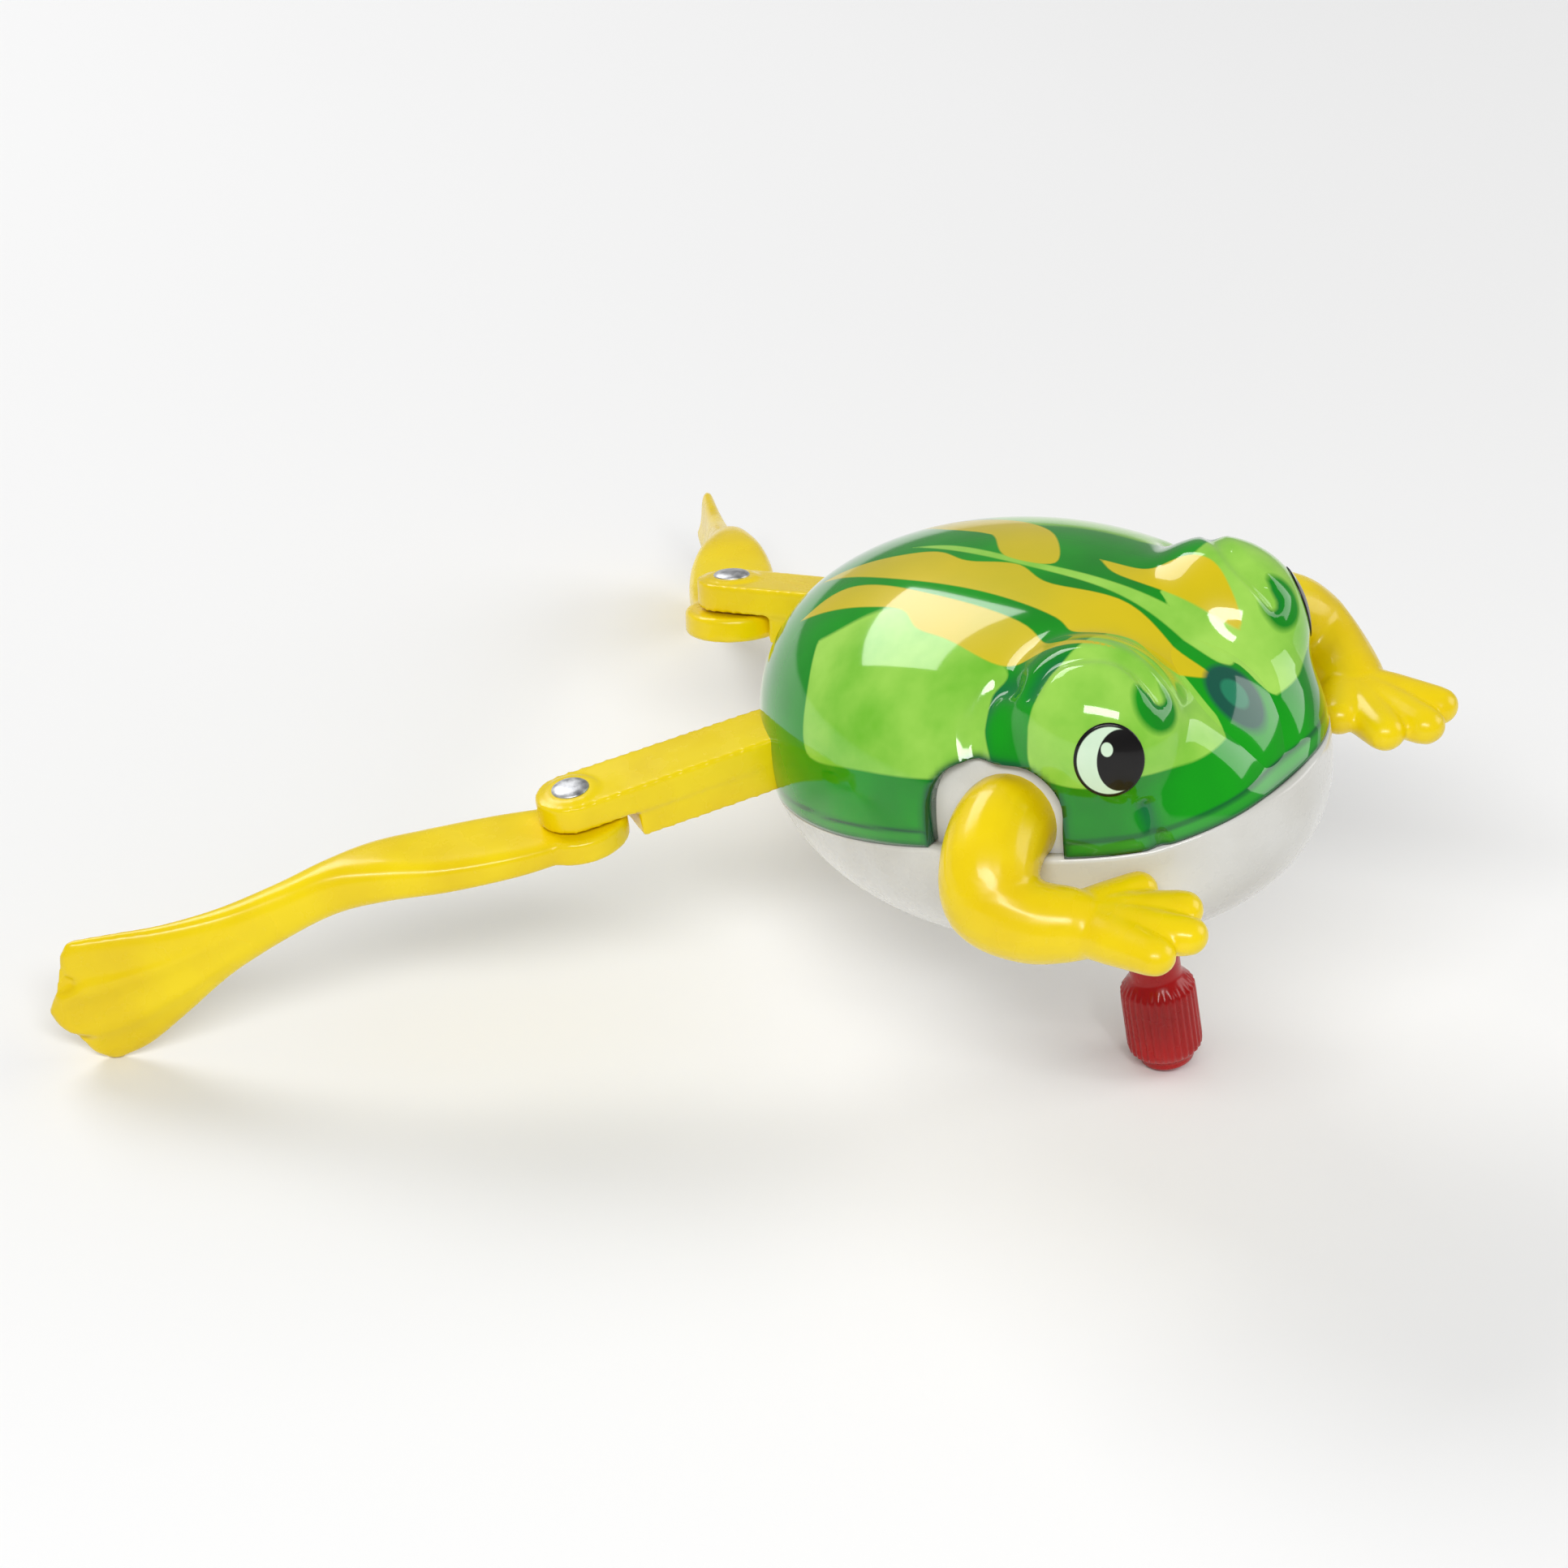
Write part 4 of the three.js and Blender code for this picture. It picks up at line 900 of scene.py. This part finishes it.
def make_eye(side):
    """The printed disc on the eye bump, as a thin cap that follows the bump."""
    sign = 1 if side == "left" else -1
    aim = np.array(EYE_AIM)
    aim = aim / np.linalg.norm(aim)
    forward = np.array([0, -1.0, 0]) - aim * (-aim[1])
    forward = forward / np.linalg.norm(forward)
    upward = np.cross(forward, aim)
    if upward[2] < 0:
        upward = -upward
    radius = EYE_PRINT["radius"]
    rings = 20
    columns = 64
    flat = [(0.0, 0.0)]
    for ring in range(1, rings + 1):
        for column in range(columns):
            angle = 2 * math.pi * column / columns
            flat.append((radius * ring / rings * math.cos(angle), radius * ring / rings * math.sin(angle)))
    flat = np.array(flat) * [EYE_PRINT["narrowing"], 1.0]
    start = EYE_CENTRE + flat[:, :1] * forward + flat[:, 1:] * upward
    low = np.full(len(flat), 0.0)
    high = np.full(len(flat), 14.0)
    for _ in range(24):
        middle = (low + high) / 2
        inside = body_field(start + middle[:, None] * aim) < 0
        low = np.where(inside, middle, low)
        high = np.where(inside, high, middle)
    outside = start + (low + EYE_PRINT["proud"])[:, None] * aim
    under = start + (low - EYE_PRINT["sunk"])[:, None] * aim
    points = np.concatenate([outside, under])
    size = len(flat)
    faces = []
    for column in range(columns):
        following = (column + 1) % columns
        faces.append((0, 1 + column, 1 + following))
        faces.append((size, size + 1 + following, size + 1 + column))
        for ring in range(rings - 1):
            a = 1 + ring * columns + column
            b = 1 + ring * columns + following
            faces.append((a, a + columns, b + columns, b))
            faces.append((size + b, size + b + columns, size + a + columns, size + a))
        edge = 1 + (rings - 1) * columns
        faces.append((edge + column, edge + column + size, edge + following + size, edge + following))
    if np.cross(forward, upward) @ aim < 0:
        faces = [tuple(reversed(face)) for face in faces]
    matrix = BODY if sign > 0 else BODY @ MIRROR
    obj = add_object(side + "_eye", points, faces, matrix)
    across = np.concatenate([flat[:, 0], flat[:, 0]])
    height = np.concatenate([flat[:, 1], flat[:, 1]])
    from_middle = np.hypot(across / EYE_PRINT["narrowing"], height)
    add_values(obj, "outline", from_middle - (radius - EYE_PRINT["outline"]))
    pupil_x = (across - PUPIL["forward"]) / PUPIL["narrowing"]
    add_values(obj, "pupil", np.hypot(pupil_x, height) - PUPIL["radius"])
    spot_x = (across - SPOT["forward"]) / SPOT["narrowing"]
    add_values(obj, "spot", np.hypot(spot_x, height - SPOT["up"]) - SPOT["radius"])
    finish_piece(obj, "print", "body", side + "_eye_decal")


# ---------------------------------------------------------------- limbs

ARM_PATH = [
    (17.5, -10.6, 3.6),
    (21.2, -11.2, 3.8),
    (24.8, -12.3, 2.4),
    (26.6, -13.6, 0.0),
    (25.8, -17.0, -1.9),
    (23.8, -20.4, -2.6),
]
ARM_RADII = [4.8, 4.9, 4.8, 4.7, 4.1, 3.6]
WRIST = Vector((23.0, -20.4, -2.9))
FINGER_TIPS = [(17.3, -23.4, -1.9), (17.4, -28.6, -2.5), (20.4, -31.2, -2.8), (24.3, -30.2, -3.0)]


def make_arm(side):
    """One bent arm with a webbed hand of four fingers."""
    solids = [curved_tube(ARM_PATH, ARM_RADII, count=48)]
    for tip in FINGER_TIPS:
        end = Vector(tip)
        middle = WRIST.lerp(end, 0.5)
        solids.append(curved_tube([WRIST, middle, end], [3.1, 2.7, 2.1], flatness=0.9, count=20))
    for first, second in zip(FINGER_TIPS[:-1], FINGER_TIPS[1:]):
        web = Vector(first).lerp(Vector(second), 0.5)
        end = WRIST.lerp(web, 0.86)
        middle = WRIST.lerp(end, 0.5)
        solids.append(curved_tube([WRIST, middle, end], [2.6, 2.2, 1.7], flatness=0.7, count=16))
    matrix = BODY if side == "left" else BODY @ MIRROR
    obj = mould(side + "_webbed_arm", solids, matrix, voxel=0.25, smoothing=7)
    finish_piece(obj, "yellow", side + "_foreleg", side + "_arm")


THIGH = {"lug": 3.6, "width": 6.5, "start": -1.5, "top": 3.0, "bottom": -2.8, "step": 5.6}


def make_thigh(side):
    """The bar from the body to the knee: rounded edges, and a step under the lug that the shank fills."""
    lug = THIGH["lug"]
    half = THIGH["width"] / 2
    start = THIGH["start"]
    outline = [(-half, start), (half, start)]
    for step in range(25):
        angle = math.pi * step / 24
        outline.append((lug * math.cos(angle), THIGH_LENGTH + lug * math.sin(angle)))
    upper = prism_up(outline, 0.15, THIGH["top"])
    step_y = THIGH_LENGTH - THIGH["step"]
    lower_outline = [(-half, start), (half, start), (half, step_y), (-half, step_y)]
    lower = prism_up(lower_outline, THIGH["bottom"], 0.4)
    boss = stack(0, THIGH_LENGTH, [(1.0, 2.9), (3.0, 2.9), (3.25, 2.6)])
    solids = [upper, lower, boss]
    obj = mould(side + "_upper_limb", solids, thigh_matrix(side), voxel=0.25, smoothing=5)
    finish_piece(obj, "yellow", side + "_upper_leg", side + "_thigh")


def make_knee_pin(side):
    levels = [(-2.6, 1.2), (3.1, 1.2), (3.15, 1.9), (3.35, 1.88), (3.55, 1.6), (3.65, 1.1), (3.68, 0.5)]
    points, faces = stack(0, THIGH_LENGTH, levels, 40)
    obj = add_object(side + "_rivet", points, faces, thigh_matrix(side))
    bevel = obj.modifiers.new("edge", "BEVEL")
    bevel.width = 0.05 * MM
    bevel.segments = 2
    apply_modifiers(obj)
    finish_piece(obj, "steel", side + "_upper_leg", side + "_knee_pin")


CALF_LENGTH = 25.0
FOOT_LENGTH = 26.2
FOOT_DROP = 7.3
FOOT_TURN = math.tan(math.radians(-5.2))


def foot_sections():
    """Centre x, centre z, width, height and squareness along the shank, by distance from the knee pin."""
    end = CALF_LENGTH + FOOT_LENGTH
    drop = -0.5 - FOOT_DROP
    turn = FOOT_TURN * FOOT_LENGTH
    return [
        (1.0, 0.0, -1.5, 7.6, 2.6, 5.0),
        (7.0, 0.0, -1.3, 9.0, 3.2, 4.6),
        (14.0, 0.0, -0.9, 8.8, 3.8, 4.0),
        (20.0, 0.0, -0.4, 7.0, 4.6, 3.2),
        (CALF_LENGTH, 0.0, -0.7, 4.6, 5.2, 2.6),
        (30.0, turn * 0.2, -2.2, 3.7, 5.6, 2.6),
        (36.0, turn * 0.45, -4.2, 3.3, 7.0, 2.8),
        (42.0, turn * 0.65, -6.2, 2.9, 10.2, 3.0),
        (47.0, turn * 0.85, drop + 0.4, 2.6, 13.0, 3.2),
        (end, turn, drop, 2.3, 14.2, 3.4),
    ]


# The paddle's toes by level, from -1 at its lower edge to 1 at its upper edge, spread over its last stretch.
TOE_START = CALF_LENGTH + 8
RIDGES = {"levels": (0.3, -0.42), "half_width": 0.16, "height": 0.55}
MIDDLE_TOE = {"level": -0.05, "half_width": 0.36, "length": 2.3}
NOTCHES = {"levels": (0.4, -0.5), "half_width": 0.09, "depth": 1.4}
LOWER_TOE = {"level": -0.45, "depth": 3.4}
EDGE_ROUND = {"level": 0.8, "depth": 2.4}


def hump(level, middle, half_width):
    """A smooth bump of height 1 about a level."""
    return np.exp(-(((level - middle) / half_width) ** 2))


def make_shank(side):
    """The calf and the paddle foot: flat at the knee, on edge at the ankle, spread into three toes."""
    rings = 110
    columns = 72
    keys = np.array(foot_sections())
    along = np.linspace(keys[0, 0], keys[-1, 0], rings)
    spaced = [smooth_path([(row[0], row[column], 0) for row in keys], 200) for column in range(1, 6)]
    tracks = [np.interp(along, [p.x for p in path], [p.y for p in path]) for path in spaced]
    end = keys[-1, 0]
    points = []
    for ring in range(rings):
        x0, z0, width, height, power = (track[ring] for track in tracks)
        x, z = rounded_section(width, height, power, columns)
        share = np.clip((along[ring] - TOE_START) / (end - TOE_START), 0, 1)
        level = z / (height / 2)
        ridges = sum(hump(level, middle, RIDGES["half_width"]) for middle in RIDGES["levels"])
        x = x * (1 - 0.25 * share) + np.sign(x) * RIDGES["height"] * share * ridges
        lobe = MIDDLE_TOE["length"] * hump(level, MIDDLE_TOE["level"], MIDDLE_TOE["half_width"])
        lobe = lobe - LOWER_TOE["depth"] * np.clip(LOWER_TOE["level"] - level, 0, 1) ** 1.2
        for middle in NOTCHES["levels"]:
            lobe = lobe - NOTCHES["depth"] * hump(level, middle, NOTCHES["half_width"])
        lobe = lobe - EDGE_ROUND["depth"] * np.clip(np.abs(level) - EDGE_ROUND["level"], 0, 1) * 2
        reach = along[ring] + lobe * share**2
        points.extend(zip(x0 + x, reach, z0 + z))
    tip_share = [0.8, 0.5, 0.2]
    last = np.array(points[-columns:])
    centre_x = tracks[0][-1]
    for share in tip_share:
        ring = last.copy()
        ring[:, 0] = centre_x + (last[:, 0] - centre_x) * share
        ring[:, 1] = last[:, 1] + 1.0 * math.sqrt(1 - share**2)
        points.extend(map(tuple, ring))
    blade = (points, tube_faces(rings + len(tip_share), columns))
    lug = stack(0, 0, [(-2.8, 4.6), (-2.5, 5.0), (-0.5, 5.0), (-0.2, 4.7)], 64)
    obj = mould(side + "_paddle", [blade, lug], shank_matrix(side), voxel=0.25, smoothing=4)
    finish_piece(obj, "yellow", side + "_lower_leg", side + "_shank")


# ---------------------------------------------------------------- winding knob

WINDER_Y = -10
KNOB_PROFILE = [
    (-35.9, 0.4), (-35.9, 2.5), (-35.7, 2.7), (-35.0, 2.75), (-34.9, 3.0), (-34.2, 3.65), (-33.6, 3.75),
    (-28.2, 3.75), (-27.2, 3.7), (-26.6, 3.3), (-25.9, 2.75), (-25.6, 2.62), (-23.2, 2.6), (-22.95, 2.4),
    (-22.9, 1.7), (-22.9, 1.56),
]
KNOB_RIBS = 30


def make_knob():
    """The finger knob: fine upright ribs between a chamfered end and a smooth neck."""
    columns = KNOB_RIBS * 10
    heights = []
    for (z0, r0), (z1, r1) in zip(KNOB_PROFILE[:-1], KNOB_PROFILE[1:]):
        steps = max(1, int(math.hypot(z1 - z0, r1 - r0) / 0.35))
        heights += [(z0 + (z1 - z0) * step / steps, r0 + (r1 - r0) * step / steps) for step in range(steps)]
    heights.append(KNOB_PROFILE[-1])
    points = []
    for z, radius in heights:
        ribbed = min(max((radius - 3.1) / 0.5, 0), 1)
        for column in range(columns):
            angle = 2 * math.pi * column / columns
            rib = 0.13 * ribbed * (1 + math.cos(KNOB_RIBS * angle)) ** 0.5 - 0.12 * ribbed
            reach = radius + rib
            points.append((reach * math.cos(angle), WINDER_Y + reach * math.sin(angle), z))
    obj = add_object("finger_knob", points, tube_faces(len(heights), columns), BODY)
    finish_piece(obj, "red", "winder", "winding_knob")


# ---------------------------------------------------------------- all the pieces


def dress_cad_nodes():
    """Every node that stays on show gets its slot's material."""
    slots = {part["node"]: part["material_slot"] for part in frame["record"]["subparts"]}
    for name, node in frame["nodes"].items():
        if node.hide_render:
            continue
        node.data.materials.clear()
        node.data.materials.append(MATERIALS[slots[name]])


make_upper_shell()
make_lower_shell()
make_knob()
for limb_side in ("right", "left"):
    make_shoulder_wall(limb_side)
    make_eye(limb_side)
    make_arm(limb_side)
    make_thigh(limb_side)
    make_knee_pin(limb_side)
    make_shank(limb_side)
dress_cad_nodes()

# ---------------------------------------------------------------- stage


def make_floor():
    size = 3.0
    points = [(-size, -size, 0), (size, -size, 0), (size, size, 0), (-size, size, 0)]
    floor = add_object("floor", points, [(0, 1, 2, 3)], Matrix.Identity(4), smooth=False)
    surface = Surface("floor", Roughness=0.9)
    tone = surface.spread(surface.noise(3, 2), 0.3, 0.7, 0.0, 1.0)
    surface.link(surface.mix(tone, (0.86, 0.86, 0.86, 1), (0.9, 0.9, 0.9, 1)), "Base Color")
    floor.data.materials.append(surface.material)


def add_light(name, place, target, size, power):
    data = bpy.data.lights.new(name, "AREA")
    data.shape = "RECTANGLE"
    data.size, data.size_y = size
    data.energy = power
    lamp = bpy.data.objects.new(name, data)
    bpy.context.scene.collection.objects.link(lamp)
    lamp.location = place
    lamp.rotation_euler = (Vector(target) - Vector(place)).to_track_quat("-Z", "Y").to_euler()


def make_world():
    world = bpy.data.worlds.new("studio")
    bpy.context.scene.world = world
    world.use_nodes = True
    background = world.node_tree.nodes["Background"]
    background.inputs["Color"].default_value = (1.0, 1.0, 1.0, 1.0)
    background.inputs["Strength"].default_value = 0.28


# The camera's view in the frog's frame: where the middle of the picture lies, and the picture's directions.
CAMERA_DISTANCE = 530
PICTURE_WIDTH = 154.6
PICTURE_RIGHT = Vector((0.616, -0.773, -0.152))
PICTURE_UP = Vector((0.487, 0.222, 0.845))
PICTURE_SHIFT = (-25.5, -5.1)


def make_camera():
    data = bpy.data.cameras.new("camera")
    data.sensor_width = 36
    data.lens = data.sensor_width * CAMERA_DISTANCE / PICTURE_WIDTH
    data.clip_start = 0.01
    camera = bpy.data.objects.new("camera", data)
    bpy.context.scene.collection.objects.link(camera)
    right = PICTURE_RIGHT.normalized()
    towards = right.cross(PICTURE_UP).normalized()
    upward = towards.cross(right)
    target = PICTURE_RIGHT * PICTURE_SHIFT[0] + PICTURE_UP * PICTURE_SHIFT[1]
    turn = BODY.to_3x3() * (1 / MM)
    axes = Matrix((turn @ right, turn @ upward, turn @ towards)).transposed().to_4x4()
    axes.translation = BODY @ (target + towards * CAMERA_DISTANCE)
    camera.matrix_world = axes
    bpy.context.scene.camera = camera


make_floor()
make_world()
add_light("key", (-0.5, -0.3, 0.6), (0, -0.02, 0.03), (0.62, 0.14), 4.4)
add_light("fill", (0.6, -0.5, 0.45), (0, 0, 0.02), (0.5, 0.5), 2.2)
add_light("rim", (0.1, 0.6, 0.5), (0, 0, 0.02), (0.5, 0.3), 2.6)
make_camera()
bpy.context.scene.view_settings.view_transform = "Standard"
